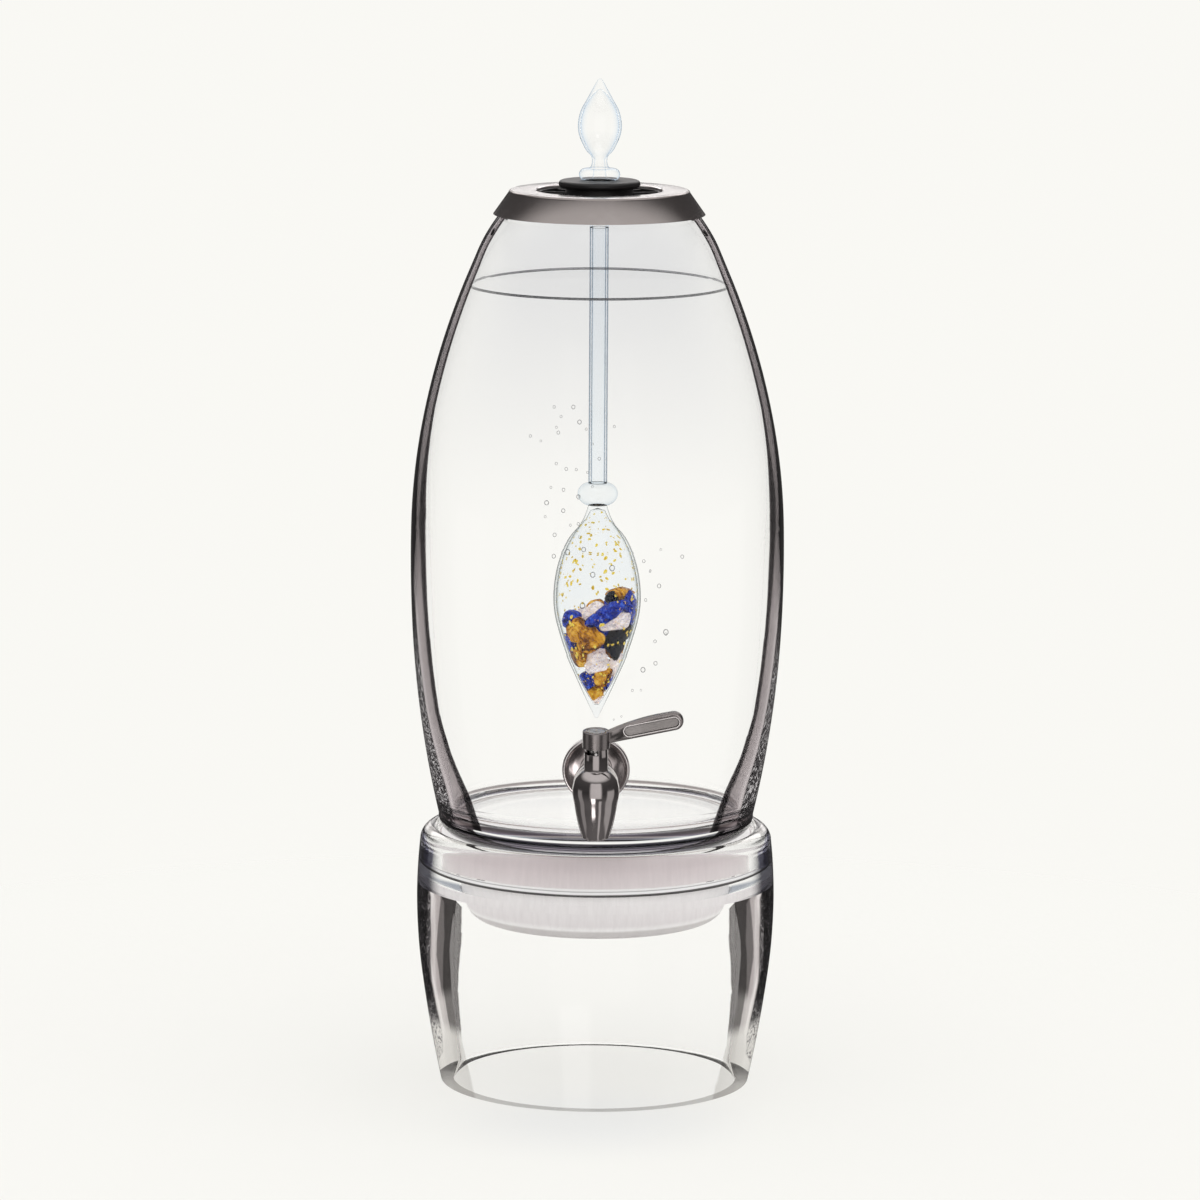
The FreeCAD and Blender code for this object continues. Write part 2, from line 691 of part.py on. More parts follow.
def make_shank_nut(wall):
    face = -wall - INNER_GASKET_THICK - WASHER_THICK
    corner = NUT_ACROSS_FLATS / 2 / math.cos(math.pi / NUT_SIDES)
    corners = []
    for index in range(NUT_SIDES + 1):
        turn = 2 * math.pi * index / NUT_SIDES
        corners.append(V(corner * math.cos(turn), corner * math.sin(turn), face - NUT_THICK))
    nut = Part.Face(Part.makePolygon(corners)).extrude(V(0, 0, NUT_THICK))
    chamfer = Outline(0, face - NUT_THICK).line(NUT_ACROSS_FLATS / 2, face - NUT_THICK)
    rise = (corner - NUT_ACROSS_FLATS / 2) * NUT_CHAMFER_SLOPE
    chamfer.line(corner, face - NUT_THICK + rise)
    chamfer.line(corner, face).line(0, face)
    nut = nut.common(chamfer.turned())
    nut = nut.cut(disc(SHANK_RADIUS + TURN_GAP, face - NUT_THICK, face))
    return place_on_wall(on_shank(nut))


def shank_end(wall):
    return -wall - INNER_GASKET_THICK - WASHER_THICK - NUT_THICK - SHANK_PROUD


def make_tap_body(wall):
    lip = SPOUT_LIP_RADIUS
    edge = SPOUT_LIP_WALL / 2
    bell = Outline(0, NECK_TOP).line(NECK_RADIUS, NECK_TOP)
    bell.line(NECK_RADIUS, SPOUT_SHOULDER)
    bell.curve([(r, z) for z, r in SPOUT_CURVE] + [(lip, edge - SPOUT_DROP)])
    bell.arc(lip - edge, edge - SPOUT_DROP, edge, 0, -90)
    bell.line(0, -SPOUT_DROP)
    seat = GASKET_THICK + ROSETTE_FLOOR
    foot = SHANK_RADIUS + SPOUT_LIP_WALL
    barrel = Outline(0, seat).line(foot, seat).line(foot, seat + ROSETTE_RIM / 2)
    swell = (BARREL_RADIUS, TAP_REACH - BARREL_SWELL_BACK)
    barrel.curve([(BARREL_WAIST, BARREL_WAIST_OUT), swell, (BARREL_WAIST, TAP_REACH)])
    barrel.line(0, TAP_REACH)
    shank = disc(SHANK_RADIUS, shank_end(wall), seat + 1)
    body = on_spout(bell.turned()).fuse([on_shank(barrel.turned()), on_shank(shank)])
    body = body.removeSplitter()
    waterway = on_shank(disc(WATERWAY, shank_end(wall) - 1, TAP_REACH))
    plug_bore = disc(PLUG_HOLE, -PLUG_FOOT - TURN_GAP, NECK_TOP + 1)
    spout_bore = Outline(0, -PLUG_FOOT).line(SPOUT_BORE, -PLUG_FOOT)
    spout_bore.line(SPOUT_BORE, -SPOUT_DROP / 2)
    spout_bore.line(lip - SPOUT_LIP_WALL, -SPOUT_DROP - TURN_GAP).line(0, -SPOUT_DROP - TURN_GAP)
    clip_low = PLUG_SHOULDER + TURN_GAP
    groove = disc(PLUG_HOLE + CIRCLIP_DEPTH, clip_low, clip_low + CIRCLIP_THICK)
    bores = plug_bore.fuse([spout_bore.turned(), groove, make_stop_slot()])
    return place_on_wall(body.cut(waterway).cut(on_spout(bores)))


def make_stop_slot():
    """The cut in the neck's rim that the stop pin runs in, from the front round to the left."""
    play = math.degrees((STOP_PIN_RADIUS + PIN_GAP) / PLUG_HOLE)
    depth = NECK_TOP - STOP_PIN_HEIGHT + STOP_PIN_RADIUS + PIN_GAP
    slot = Part.makeCylinder(
        NECK_RADIUS + 1,
        depth,
        V(0, 0, NECK_TOP - depth),
        AXIS_Z,
        LEVER_TURN + 2 * play,
    )
    slot.rotate(V(0, 0, 0), AXIS_Z, -90 - LEVER_TURN - play)
    return slot


def make_plug():
    body = disc(PLUG_RADIUS, -PLUG_FOOT, PLUG_SHOULDER)
    stem = disc(PLUG_STEM_RADIUS, PLUG_SHOULDER, PLUG_STEM_TOP)
    flats = Part.makeBox(PLUG_STEM_FLATS, 2 * PLUG_RADIUS, HUB_HEIGHT + 1)
    flats.translate(V(-PLUG_STEM_FLATS / 2, -PLUG_RADIUS, HUB_FOOT))
    top = disc(PLUG_STEM_RADIUS, HUB_FOOT, PLUG_STEM_TOP).common(flats)
    stem = disc(PLUG_STEM_RADIUS, PLUG_SHOULDER, HUB_FOOT).fuse(top)
    plug = body.fuse(stem)
    plug = plug.cut(disc(PLUG_BORE, -PLUG_FOOT - 1, PLUG_BORE + 1))
    port = Part.makeCylinder(PLUG_PORT, PLUG_RADIUS + 1, V(0, 0, 0), V(-1, 0, 0))
    plug = plug.cut(port)
    root = PLUG_RADIUS - 2 * RING_WIRE
    for height in RING_HEIGHTS:
        half = RING_WIRE + TURN_GAP
        plug = plug.cut(ring(root, PLUG_RADIUS + 1, height - half, height + half))
    pin_hole = Part.makeCylinder(
        STOP_PIN_RADIUS, PLUG_RADIUS, V(0, -STOP_PIN_ROOT, STOP_PIN_HEIGHT), V(0, -1, 0)
    )
    plug = plug.cut(pin_hole)
    screw_hole = disc(SCREW_SHANK_RADIUS, HUB_TOP - SCREW_LENGTH - SCREW_HEAD_THICK, PLUG_STEM_TOP + 1)
    return place_on_wall(on_spout(plug.cut(screw_hole)))


def make_plug_rings():
    rings = []
    for height in RING_HEIGHTS:
        outline = Outline(PLUG_RADIUS, height)
        for side in range(1, RING_SIDES):
            turn = 2 * math.pi * side / RING_SIDES
            centre = PLUG_RADIUS - RING_WIRE
            outline.line(centre + RING_WIRE * math.cos(turn), height + RING_WIRE * math.sin(turn))
        rings.append(outline.turned())
    return place_on_wall(on_spout(Part.makeCompound(rings)))


def make_circlip():
    low = PLUG_SHOULDER + TURN_GAP
    clip = ring(CIRCLIP_INSIDE, PLUG_HOLE + CIRCLIP_DEPTH, low, low + CIRCLIP_THICK)
    gap = Part.makeCylinder(PLUG_HOLE + 2, CIRCLIP_THICK, V(0, 0, low), AXIS_Z, CIRCLIP_OPENING)
    gap.rotate(V(0, 0, 0), AXIS_Z, 90 - CIRCLIP_OPENING / 2)
    return place_on_wall(on_spout(clip.cut(gap)))


def make_stop_pin():
    length = STOP_PIN_REACH - STOP_PIN_ROOT
    pin = Part.makeCylinder(STOP_PIN_RADIUS, length, V(0, -STOP_PIN_ROOT, STOP_PIN_HEIGHT), V(0, -1, 0))
    return place_on_wall(on_spout(pin))


def paddle_face():
    """Outline of the paddle in the tap's XZ plane."""
    root_low = V(PADDLE_ROOT_X, 0, PADDLE_ROOT_LOW)
    root_high = V(PADDLE_ROOT_X, 0, PADDLE_ROOT_HIGH)
    centre = V(PADDLE_END_X, 0, PADDLE_END_Z)
    lower = centre - root_low
    swing = math.asin(PADDLE_END_RADIUS / lower.Length)
    slope = math.atan2(lower.z, lower.x) - swing
    low_end = centre + V(math.sin(slope), 0, -math.cos(slope)) * PADDLE_END_RADIUS
    high_slope = math.atan2(centre.z + PADDLE_END_RADIUS - root_high.z, centre.x - root_high.x) / 2
    high_end = centre + V(-math.sin(high_slope), 0, math.cos(high_slope)) * PADDLE_END_RADIUS
    middle_slope = (slope + high_slope) / 2
    tip = centre + V(math.cos(middle_slope), 0, math.sin(middle_slope)) * PADDLE_END_RADIUS
    crown = (root_high + high_end) * 0.5 + V(-math.sin(slope), 0, math.cos(slope)) * PADDLE_CROWN
    edges = [
        Part.makeLine(root_low, low_end),
        Part.Arc(low_end, tip, high_end).toShape(),
        Part.Arc(high_end, crown, root_high).toShape(),
        Part.makeLine(root_high, root_low),
    ]
    return Part.Face(Part.Wire(edges)), slope


def panel_cutter(slope, side):
    """Long rounded recess in one face of the paddle."""
    along = V(math.cos(slope), 0, math.sin(slope))
    across = V(-math.sin(slope), 0, math.cos(slope))
    far = V(PADDLE_END_X, 0, PADDLE_END_Z) - across * PANEL_DROP
    near = far - along * PANEL_LENGTH
    side_step = across * PANEL_RADIUS
    end_step = along * PANEL_RADIUS
    edges = [
        Part.makeLine(near - side_step, far - side_step),
        Part.Arc(far - side_step, far + end_step, far + side_step).toShape(),
        Part.makeLine(far + side_step, near + side_step),
        Part.Arc(near + side_step, near - end_step, near - side_step).toShape(),
    ]
    cutter = Part.Face(Part.Wire(edges)).extrude(V(0, 2 * PANEL_DEPTH, 0))
    cutter.translate(V(0, side * PADDLE_THICK / 2 - PANEL_DEPTH, 0))
    return cutter


def make_lever():
    face, slope = paddle_face()
    paddle = face.extrude(V(0, PADDLE_THICK, 0))
    paddle.translate(V(0, -PADDLE_THICK / 2, 0))
    rims = []
    for edge in paddle.Edges:
        box = edge.BoundBox
        flat = box.YLength < 1e-6
        if flat and box.XMax > PADDLE_ROOT_X + 1:
            rims.append(edge)
    paddle = paddle.makeFillet(PADDLE_ROUND, rims)
    for side in (-1, 1):
        paddle = paddle.cut(panel_cutter(slope, side))
    hub = Outline(0, HUB_FOOT).line(HUB_RADIUS, HUB_FOOT)
    hub.arc(HUB_RADIUS - HUB_ROUND, HUB_TOP - HUB_ROUND, HUB_ROUND, 0, 90)
    hub.line(0, HUB_TOP)
    lever = hub.turned().fuse(paddle).removeSplitter()
    width = PLUG_STEM_FLATS + 2 * TURN_GAP
    flats = Part.makeBox(width, 2 * HUB_RADIUS, PLUG_STEM_TOP - HUB_FOOT)
    flats.translate(V(-width / 2, -HUB_RADIUS, HUB_FOOT))
    bore = disc(PLUG_STEM_RADIUS + TURN_GAP, HUB_FOOT, PLUG_STEM_TOP).common(flats)
    head_seat = HUB_TOP - SCREW_SINK - SCREW_HEAD_THICK
    counterbore = disc(SCREW_HEAD_RADIUS + SCREW_HOLE_GAP, head_seat, HUB_TOP + 1)
    screw_hole = disc(SCREW_SHANK_RADIUS + TURN_GAP, HUB_FOOT, HUB_TOP)
    lever = lever.cut(bore).cut(counterbore).cut(screw_hole)
    return place_on_wall(on_spout(lever))


def make_lever_screw():
    head_top = HUB_TOP - SCREW_SINK
    head_low = head_top - SCREW_HEAD_THICK
    head = disc(SCREW_HEAD_RADIUS, head_low, head_top)
    shank = disc(SCREW_SHANK_RADIUS, HUB_TOP - SCREW_LENGTH - SCREW_HEAD_THICK, head_low)
    slot = Part.makeBox(SCREW_SLOT_LENGTH, SCREW_SLOT_WIDTH, SCREW_SLOT_DEPTH + 1)
    slot.translate(V(-SCREW_SLOT_LENGTH / 2, -SCREW_SLOT_WIDTH / 2, head_top - SCREW_SLOT_DEPTH))
    return place_on_wall(on_spout(head.fuse(shank).cut(slot)))


def main():
    os.makedirs("parts", exist_ok=True)
    jar_blank = make_jar_blank()
    wall = wall_thickness(jar_blank)
    export("stand_shell", make_stand())
    export("support_bowl", make_bowl())
    export("jar", make_jar(jar_blank, wall))
    export("lid_shell", make_lid_shell())
    export("lid_liner", make_lid_liner())
    export("lid_seal", make_lid_seal())
    export("wand_seat", make_wand_seat())
    export("stopper", make_stopper())
    export("wand_finial", make_finial())
    export("wand_stem", make_stem())
    export("wand_bead", make_bead())
    export("wand_drop", make_drop())
    for colour, stones in make_stones().items():
        export(f"stones_{colour}", Part.makeCompound(stones))
    export("tap_rosette", make_rosette())
    export("tap_body", make_tap_body(wall))
    export("tap_plug", make_plug())
    export("plug_o_rings", make_plug_rings())
    export("plug_circlip", make_circlip())
    export("stop_pin", make_stop_pin())
    export("tap_lever", make_lever())
    export("lever_screw", make_lever_screw())
    export("outer_gasket", make_outer_gasket(jar_blank))
    export("inner_gasket", make_inner_gasket(jar_blank, wall))
    export("shank_washer", make_shank_washer(wall))
    export("shank_nut", make_shank_nut(wall))
    print(f"wall at the tap: radius {radius_at_tap():.3f}, thickness {wall:.3f}")


main()
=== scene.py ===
"""Looks of a glass water dispenser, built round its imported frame.

+Z is up and the tap looks towards -Y. The sub-assemblies' sizes are in millimetres, and the
heights and depths of the finishes are in metres, as in the scene.
"""

import itertools
import logging
import math
from dataclasses import dataclass
from enum import Enum
from typing import Any, Callable, Iterable, Optional, Sequence, Union

import bmesh
import bpy
from mathutils import Matrix, Vector, noise


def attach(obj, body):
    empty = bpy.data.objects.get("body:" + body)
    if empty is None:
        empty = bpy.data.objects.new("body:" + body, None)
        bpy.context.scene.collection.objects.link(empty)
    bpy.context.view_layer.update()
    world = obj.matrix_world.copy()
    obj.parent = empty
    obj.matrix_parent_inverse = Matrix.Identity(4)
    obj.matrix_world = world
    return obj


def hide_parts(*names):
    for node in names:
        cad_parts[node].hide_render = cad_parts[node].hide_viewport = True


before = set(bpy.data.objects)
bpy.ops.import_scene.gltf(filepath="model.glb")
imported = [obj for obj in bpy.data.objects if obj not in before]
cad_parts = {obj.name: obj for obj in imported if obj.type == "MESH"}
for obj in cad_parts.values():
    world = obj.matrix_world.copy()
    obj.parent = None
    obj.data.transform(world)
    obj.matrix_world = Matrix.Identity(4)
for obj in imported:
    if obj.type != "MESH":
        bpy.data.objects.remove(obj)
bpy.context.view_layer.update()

LOG = logging.getLogger("dispenser")
MM = 0.001

Station = tuple[float, float]
Triple = tuple[float, float, float]
# each stop is a position, red, green and blue
Stops = Sequence[tuple[float, float, float, float]]
Faces = list[tuple[int, ...]]
WHITE: Triple = (1.0, 1.0, 1.0)
GLASS_IOR, STRAIGHT_IOR = 1.5, 1.01
THICK_GLASS_SHARE = 0.985


class Body(str, Enum):
    """Bodies that pieces ride on."""

    STAND = "stand"
    BOWL = "bowl"
    JAR = "jar"
    LID = "lid"
    WAND = "wand"
    LEVER = "lever"


class StoneKind(str, Enum):
    """Kinds of tumbled stone in the drop."""

    BLUE = "blue"
    AMBER = "amber"
    DARK = "dark"
    CLEAR = "clear"


BLUE, AMBER, DARK, CLEAR = StoneKind


# node trees
def operator(operation: str, swapped: bool = False) -> Callable[["Wire", Any], "Wire"]:
    """Arithmetic operator that adds a Math node.

    Args:
        operation: the node's operation.
        swapped: whether the wire stands on the right.

    Returns:
        The operator's method.
    """
    def apply(wire: "Wire", other: Any) -> "Wire":
        """The wire and another value through one Math node."""
        first, second = (other, wire) if swapped else (wire, other)
        return wire.graph.math(operation, first, second)
    return apply


class Wire:
    """A value on a node link, with arithmetic that adds Math nodes."""

    def __init__(self, graph: "Graph", node: bpy.types.Node, output: Union[int, str] = 0) -> None:
        """Hold one output of a node.

        Args:
            graph: the tree's builder.
            node: the node.
            output: name or place of its output, if it has any.
        """
        self.graph = graph
        self.node = node
        self.socket = node.outputs[output] if node.outputs else None

    def out(self, output: Union[int, str]) -> "Wire":
        """Another output of the same node."""
        return Wire(self.graph, self.node, output)

    __add__, __radd__ = operator("ADD"), operator("ADD", True)
    __sub__, __rsub__ = operator("SUBTRACT"), operator("SUBTRACT", True)
    __mul__, __rmul__ = operator("MULTIPLY"), operator("MULTIPLY", True)
    __truediv__, __rtruediv__ = operator("DIVIDE"), operator("DIVIDE", True)


class Graph:
    """Builds the nodes of one tree."""

    def __init__(self, tree: bpy.types.NodeTree) -> None:
        """Keep the tree."""
        self.tree = tree

    def add(
        self,
        kind: str,
        settings: Optional[dict[str, Any]] = None,
        inputs: Optional[dict[Union[int, str], Any]] = None,
        output: Union[int, str] = 0,
    ) -> Wire:
        """Add a node.

        Args:
            kind: the node's type.
            settings: its properties, set first; "stops" fills a colour ramp.
            inputs: values or wires of its sockets, by name or place.
            output: the output to hand back.

        Returns:
            The wire from that output.
        """
        node = self.tree.nodes.new(kind)
        for name, value in (settings or {}).items():
            if name == "stops":
                self._fill_ramp(node.color_ramp, value)
            else:
                setattr(node, name, value)
        for name, value in (inputs or {}).items():
            socket = node.inputs[name]
            if isinstance(value, Wire):
                self.tree.links.new(value.socket, socket)
            elif value is not None:
                if socket.type == "RGBA" and len(value) == 3:
                    value = (*value, 1.0)
                socket.default_value = value
        return Wire(self, node, output)

    @staticmethod
    def _fill_ramp(ramp: bpy.types.ColorRamp, stops: Stops) -> None:
        """Put stops of position, red, green and blue on a colour ramp."""
        while len(ramp.elements) > 1:
            ramp.elements.remove(ramp.elements[-1])
        ramp.elements[0].position = stops[0][0]
        ramp.elements[0].color = (*stops[0][1:], 1.0)
        for position, *colour in stops[1:]:
            ramp.elements.new(position).color = (*colour, 1.0)

    def math(self, operation: str, first: Any, second: Any = None) -> Wire:
        """Math node."""
        return self.add("ShaderNodeMath", {"operation": operation}, {0: first, 1: second})

    def vector(self, operation: str, first: Wire, second: Any, output: str = "Vector") -> Wire:
        """Vector Math node; a scale takes its factor as the second value."""
        place = "Scale" if operation == "SCALE" else 1
        return self.add("ShaderNodeVectorMath", {"operation": operation}, {0: first, place: second}, output)

    def ramp(self, factor: Wire, stops: Stops) -> Wire:
        """Colour ramp on a factor."""
        return self.add("ShaderNodeValToRGB", {"stops": stops}, {0: factor})

    def blend(self, factor: Any, first: Any, second: Any, kind: str = "MIX") -> Wire:
        """Mix two colours."""
        settings = {"data_type": "RGBA", "blend_type": kind}
        return self.add("ShaderNodeMix", settings, {0: factor, 6: first, 7: second}, 2)

    def span(self, value: Wire, ends: Station, to: Station = (0.0, 1.0), kind: str = "LINEAR") -> Wire:
        """Map of a value from one range to another, held at both ends."""
        inputs = {"Value": value, "From Min": ends[0], "From Max": ends[1], "To Min": to[0], "To Max": to[1]}
        return self.add("ShaderNodeMapRange", {"interpolation_type": kind}, inputs)

    def step(self, value: Wire, low: float, high: float) -> Wire:
        """Smooth step from 0 at low to 1 at high."""
        return self.span(value, (low, high), kind="SMOOTHSTEP")

    def place(self) -> Wire:
        """Object coordinates."""
        return self.add("ShaderNodeTexCoord", None, None, "Object")

    def part(self, vector: Wire, axis: int) -> Wire:
        """One part of a vector: 0 for X, 1 for Y, 2 for Z."""
        return self.add("ShaderNodeSeparateXYZ", None, {0: vector}, axis)

    def upright(self) -> Wire:
        """Size of the normal's Z: 0 on a wall, 1 on a level face."""
        normal = self.add("ShaderNodeNewGeometry", None, None, "Normal")
        return self.math("ABSOLUTE", self.part(normal, 2))

    def facing(self) -> Wire:
        """How far the surface turns from the eye: 0 face on, 1 at the silhouette."""
        return self.add("ShaderNodeLayerWeight", None, {"Blend": 0.5}, "Facing")

    def stretch(self, vector: Wire, scale: Triple) -> Wire:
        """Vector with each part scaled."""
        return self.add("ShaderNodeMapping", None, {"Vector": vector, "Scale": scale})

    def noise(
        self, vector: Wire, scale: float, detail: float = 3.0, rough: float = 0.5, bend: float = 0.0,
    ) -> Wire:
        """Noise between 0 and 1."""
        inputs = {"Vector": vector, "Scale": scale, "Detail": detail, "Roughness": rough, "Distortion": bend}
        return self.add("ShaderNodeTexNoise", None, inputs)

    def waver(self, reach: float, vector: Wire, *noise_fields: float) -> Wire:
        """Noise about 0, up to half its reach either way."""
        return (self.noise(vector, *noise_fields) - 0.5) * reach

    def bump(self, height: Wire, depth: float, strength: float = 1.0, under: Optional[Wire] = None) -> Wire:
        """Bump from a height, with its depth in metres."""
        inputs = {"Height": height, "Distance": depth, "Strength": strength, "Normal": under}
        return self.add("ShaderNodeBump", None, inputs)

    def surface(self, colour: Any, rough: Any, **more: Any) -> Wire:
        """Principled shader; an underscore in a socket's name stands for a space."""
        named = {name.replace("_", " "): value for name, value in more.items()}
        return self.add("ShaderNodeBsdfPrincipled", None, {"Base Color": colour, "Roughness": rough, **named})

    def clear(self, share: float = 1.0) -> Wire:
        """Transparent shader that keeps a share of the light."""
        return self.add("ShaderNodeBsdfTransparent", None, {"Color": (share, share, share)})

    def mix(self, factor: Wire, first: Wire, second: Wire) -> Wire:
        """Mix of two shaders."""
        return self.add("ShaderNodeMixShader", None, {0: factor, 1: first, 2: second})

    def let_through(self, shader: Wire, share: float) -> Wire:
        """Shader that passes shadow rays and the soft light, less what its wall keeps.

        Args:
            shader: what all other rays see.
            share: share of the light that passes.

        Returns:
            The shader.
        """
        path, clear = self.add("ShaderNodeLightPath"), self.clear(share)
        soft = self.mix(path.out("Is Diffuse Ray"), shader, clear)
        return self.mix(path.out("Is Shadow Ray"), soft, clear)


def fresh_graph(owner: Union[bpy.types.Material, bpy.types.World]) -> Graph:
    """Builder of an owner's emptied tree.

    Args:
        owner: a material or a world.

    Returns:
        The builder.
    """
    owner.use_nodes = True
    owner.node_tree.nodes.clear()
    return Graph(owner.node_tree)


# finishes
@dataclass(frozen=True)
class Finish:
    """A named finish; each kind of surface fills in its shader."""

    name: str

    def shader(self, graph: Graph) -> Wire:
        """Shader of the finish.

        Args:
            graph: builder of the material's tree.

        Returns:
            The shader, each kind in its own way.
        """
        raise NotImplementedError

    def material(self) -> bpy.types.Material:
        """The finish's material, made once."""
        label = f"{self.name}_finish"
        material = bpy.data.materials.get(label)
        if material is None:
            material = bpy.data.materials.new(label)
            graph = fresh_graph(material)
            graph.add("ShaderNodeOutputMaterial", None, {"Surface": self.shader(graph)})
        return material


def see_through(
    graph: Graph,
    colour: Wire,
    shade: float,
    straight: bool = False,
    normal: Optional[Wire] = None,
    gloss: float = 0.25,
    coat: float = 0.0,
) -> Wire:
    """Clear glass that lets the lamps and the soft light through.

    Args:
        graph: the material's builder.
        colour: what a ray keeps of its light at the surface.
        shade: share of the soft light that the surface lets through.
        straight: whether what lies behind stays where it is.
        normal: bumped normal.
        gloss: share of the reflection seen face on.
        coat: strength of a gloss laid over a straight wall.

    Returns:
        The shader.
    """
    glass = graph.surface(
        graph.blend(1.0, colour, colour, "MULTIPLY"), 0.0, Transmission_Weight=1.0, Normal=normal,
        IOR=STRAIGHT_IOR if straight else GLASS_IOR, Specular_Tint=(gloss, gloss, gloss),
        Coat_Weight=coat, Coat_Roughness=0.0, Coat_IOR=GLASS_IOR,
    )
    return graph.let_through(glass, shade)


@dataclass(frozen=True)
class Zone:
    """Colours of the painted shade band at a wall's edge over one stretch of height.

    Args:
        lines: painted colours of light and shade from the start of the band to its dark rim.
        rim: colour of the painted dark rim.
        until: heights between which the zone gives way to the next one.
    """

    lines: Stops
    rim: Triple
    until: Station = (9.0, 9.1)


@dataclass(frozen=True)
class Rings:
    """Painted light and shade lines round a rounded edge, in front and where the edge turns away.

    Args:
        heights: lowest and highest height of the lines.
        front: colours over those heights.
        side: colours over those heights where the surface turns away.
        turn: turns between which front gives way to side.
    """

    heights: Station
    front: Stops
    side: Stops
    turn: Station


@dataclass(frozen=True)
class EdgeGlass(Finish):
    """Outer skin of thick glass, with painted shade where the wall is seen edge on.

    The band runs from the turn at which the inner wall hides the background, 0, to the
    silhouette, 1. Its first part holds painted lines of light and shade and the last the
    painted dark rim, which stand in for what the thick wall bends and reflects.

    Args:
        heights: lowest and highest height of the next two.
        starts: turn at which the band starts, over those heights.
        rims: share of the band inside the painted dark rim, over those heights.
        zones: the band's painted colours from the lowest zone to the highest.
        ripple: how far the lines waver.
        rings: painted level lines of light and shade round a rounded edge.
        flecks: heights between which painted light flecks in the rim die out.
        fleck: colour of the painted flecks.
        painted_shade: strength of the painted grey-blue shade inside, seen face on.
        painted_shade_from: heights between which the painted shade sets in.
        painted_shade_colour: colour of the painted shade.
        straight: whether what lies behind stays where it is.
    """

    heights: Station
    starts: Sequence[Station]
    rims: Sequence[Station]
    zones: Sequence[Zone]
    ripple: float
    rings: Optional[Rings] = None
    flecks: Station = (-0.2, -0.1)
    fleck: Triple = (0.62, 0.60, 0.62)
    painted_shade: float = 0.0
    painted_shade_from: Station = (0.35, 0.505)
    painted_shade_colour: Triple = (0.0, 0.035, 0.2)
    straight: bool = False

    def shader(self, graph: Graph) -> Wire:
        """Shader of the finish."""
        place, facing = graph.place(), graph.facing()
        height = graph.part(place, 2)
        level = graph.span(height, self.heights)
        start, rim_at = (
            graph.ramp(level, [(where, share, share, share) for where, share in run])
            for run in (self.starts, self.rims)
        )
        waver = graph.waver(self.ripple, graph.stretch(place, (1.0, 1.0, 0.3)), 60.0, 4.0, 0.6, 1.5)
        inner = (facing - start) / (1.0 - start) / rim_at + waver
        # painted shade: the band darkens to a dark rim at the silhouette
        dark = graph.step(inner, 0.97, 1.03)
        body: Any = WHITE
        turn = None
        for zone in self.zones:
            band = graph.blend(dark, graph.ramp(inner, zone.lines), zone.rim)
            body = band if turn is None else graph.blend(turn, body, band)
            turn = graph.step(height, *zone.until)
        # painted light: pale flecks in the dark rim
        fleck_noise = graph.noise(graph.stretch(place, (1.0, 1.0, 1.5)), 60.0, 2.0, 0.5, 7.0)
        fleck = graph.step(fleck_noise, 0.53, 0.60) * dark * (1.0 - graph.step(height, *self.flecks))
        body = graph.blend(fleck, body, self.fleck)
        body = graph.blend(graph.step(graph.upright(), 0.6, 0.88), body, WHITE)
        # painted level lines of light and shade round the rounded edge
        if self.rings:
            climb = graph.span(height, self.rings.heights)
            front, side = graph.ramp(climb, self.rings.front), graph.ramp(climb, self.rings.side)
            ring = graph.blend(graph.step(facing, *self.rings.turn), front, side)
            body = graph.blend(1.0, body, ring, "MULTIPLY")
        # painted grey-blue shade in the upper wall, seen face on
        if self.painted_shade:
            painted_shade_amount = graph.span(height, self.painted_shade_from, (0.0, self.painted_shade))
            body = graph.blend(painted_shade_amount * (1.0 - graph.step(facing, 0.10, 0.58)), body, self.painted_shade_colour)
        return see_through(graph, body, THICK_GLASS_SHARE, self.straight, coat=0.25 if self.straight else 0.0)


@dataclass(frozen=True)
class InnerGlass(Finish):
    """Inner skin of thick glass, with a thin dark line of painted shade where it is seen edge on."""

    straight: bool = False
    line: Triple = (0.16, 0.145, 0.15)
    start: float = 0.9

    def shader(self, graph: Graph) -> Wire:
        """Shader of the finish."""
        edge = graph.step(graph.facing(), self.start, 1.0) * (1.0 - graph.step(graph.upright(), 0.5, 0.8))
        return see_through(graph, graph.blend(edge, WHITE, self.line), THICK_GLASS_SHARE, self.straight)


@dataclass(frozen=True)
class FootLine(Finish):
    """Ground edge of a glass foot, seen as a thin line of painted shade, darker behind than in front."""

    behind: Triple = (0.04, 0.038, 0.038)
    before: Triple = (0.62, 0.61, 0.605)
    reach: Station = (-0.035, 0.06)

    def shader(self, graph: Graph) -> Wire:
        """Shader of the finish."""
        place = graph.place()
        turn = graph.step(graph.part(place, 1) + graph.waver(0.05, place, 40.0), *self.reach)
        return see_through(graph, graph.blend(turn, self.before, self.behind), 0.97, True)


@dataclass(frozen=True)
class LedgeLight(Finish):
    """Rim of the inner ledge, painted with level lines of light and shade."""

    heights: Station
    lines: Stops

    def shader(self, graph: Graph) -> Wire:
        """Shader of the finish."""
        place = graph.place()
        height = graph.part(place, 2) + graph.waver(0.0006, place, 30.0, 2.0)
        return graph.surface(graph.ramp(graph.span(height, self.heights), self.lines), 0.3)


@dataclass(frozen=True)
class WandGlass(Finish):
    """Thin blown glass with a pale blue edge, partly its tint and partly painted shade.

    Args:
        band: colours from face on to the silhouette, with painted shade towards the silhouette.
        coat: strength of the gloss on it.
    """

    band: Stops
    coat: float

    def shader(self, graph: Graph) -> Wire:
        """Shader of the finish."""
        turn = graph.facing() + graph.waver(0.08, graph.place(), 90.0, 2.0)
        return see_through(graph, graph.ramp(turn, self.band), 0.99, True, gloss=0.06, coat=self.coat)


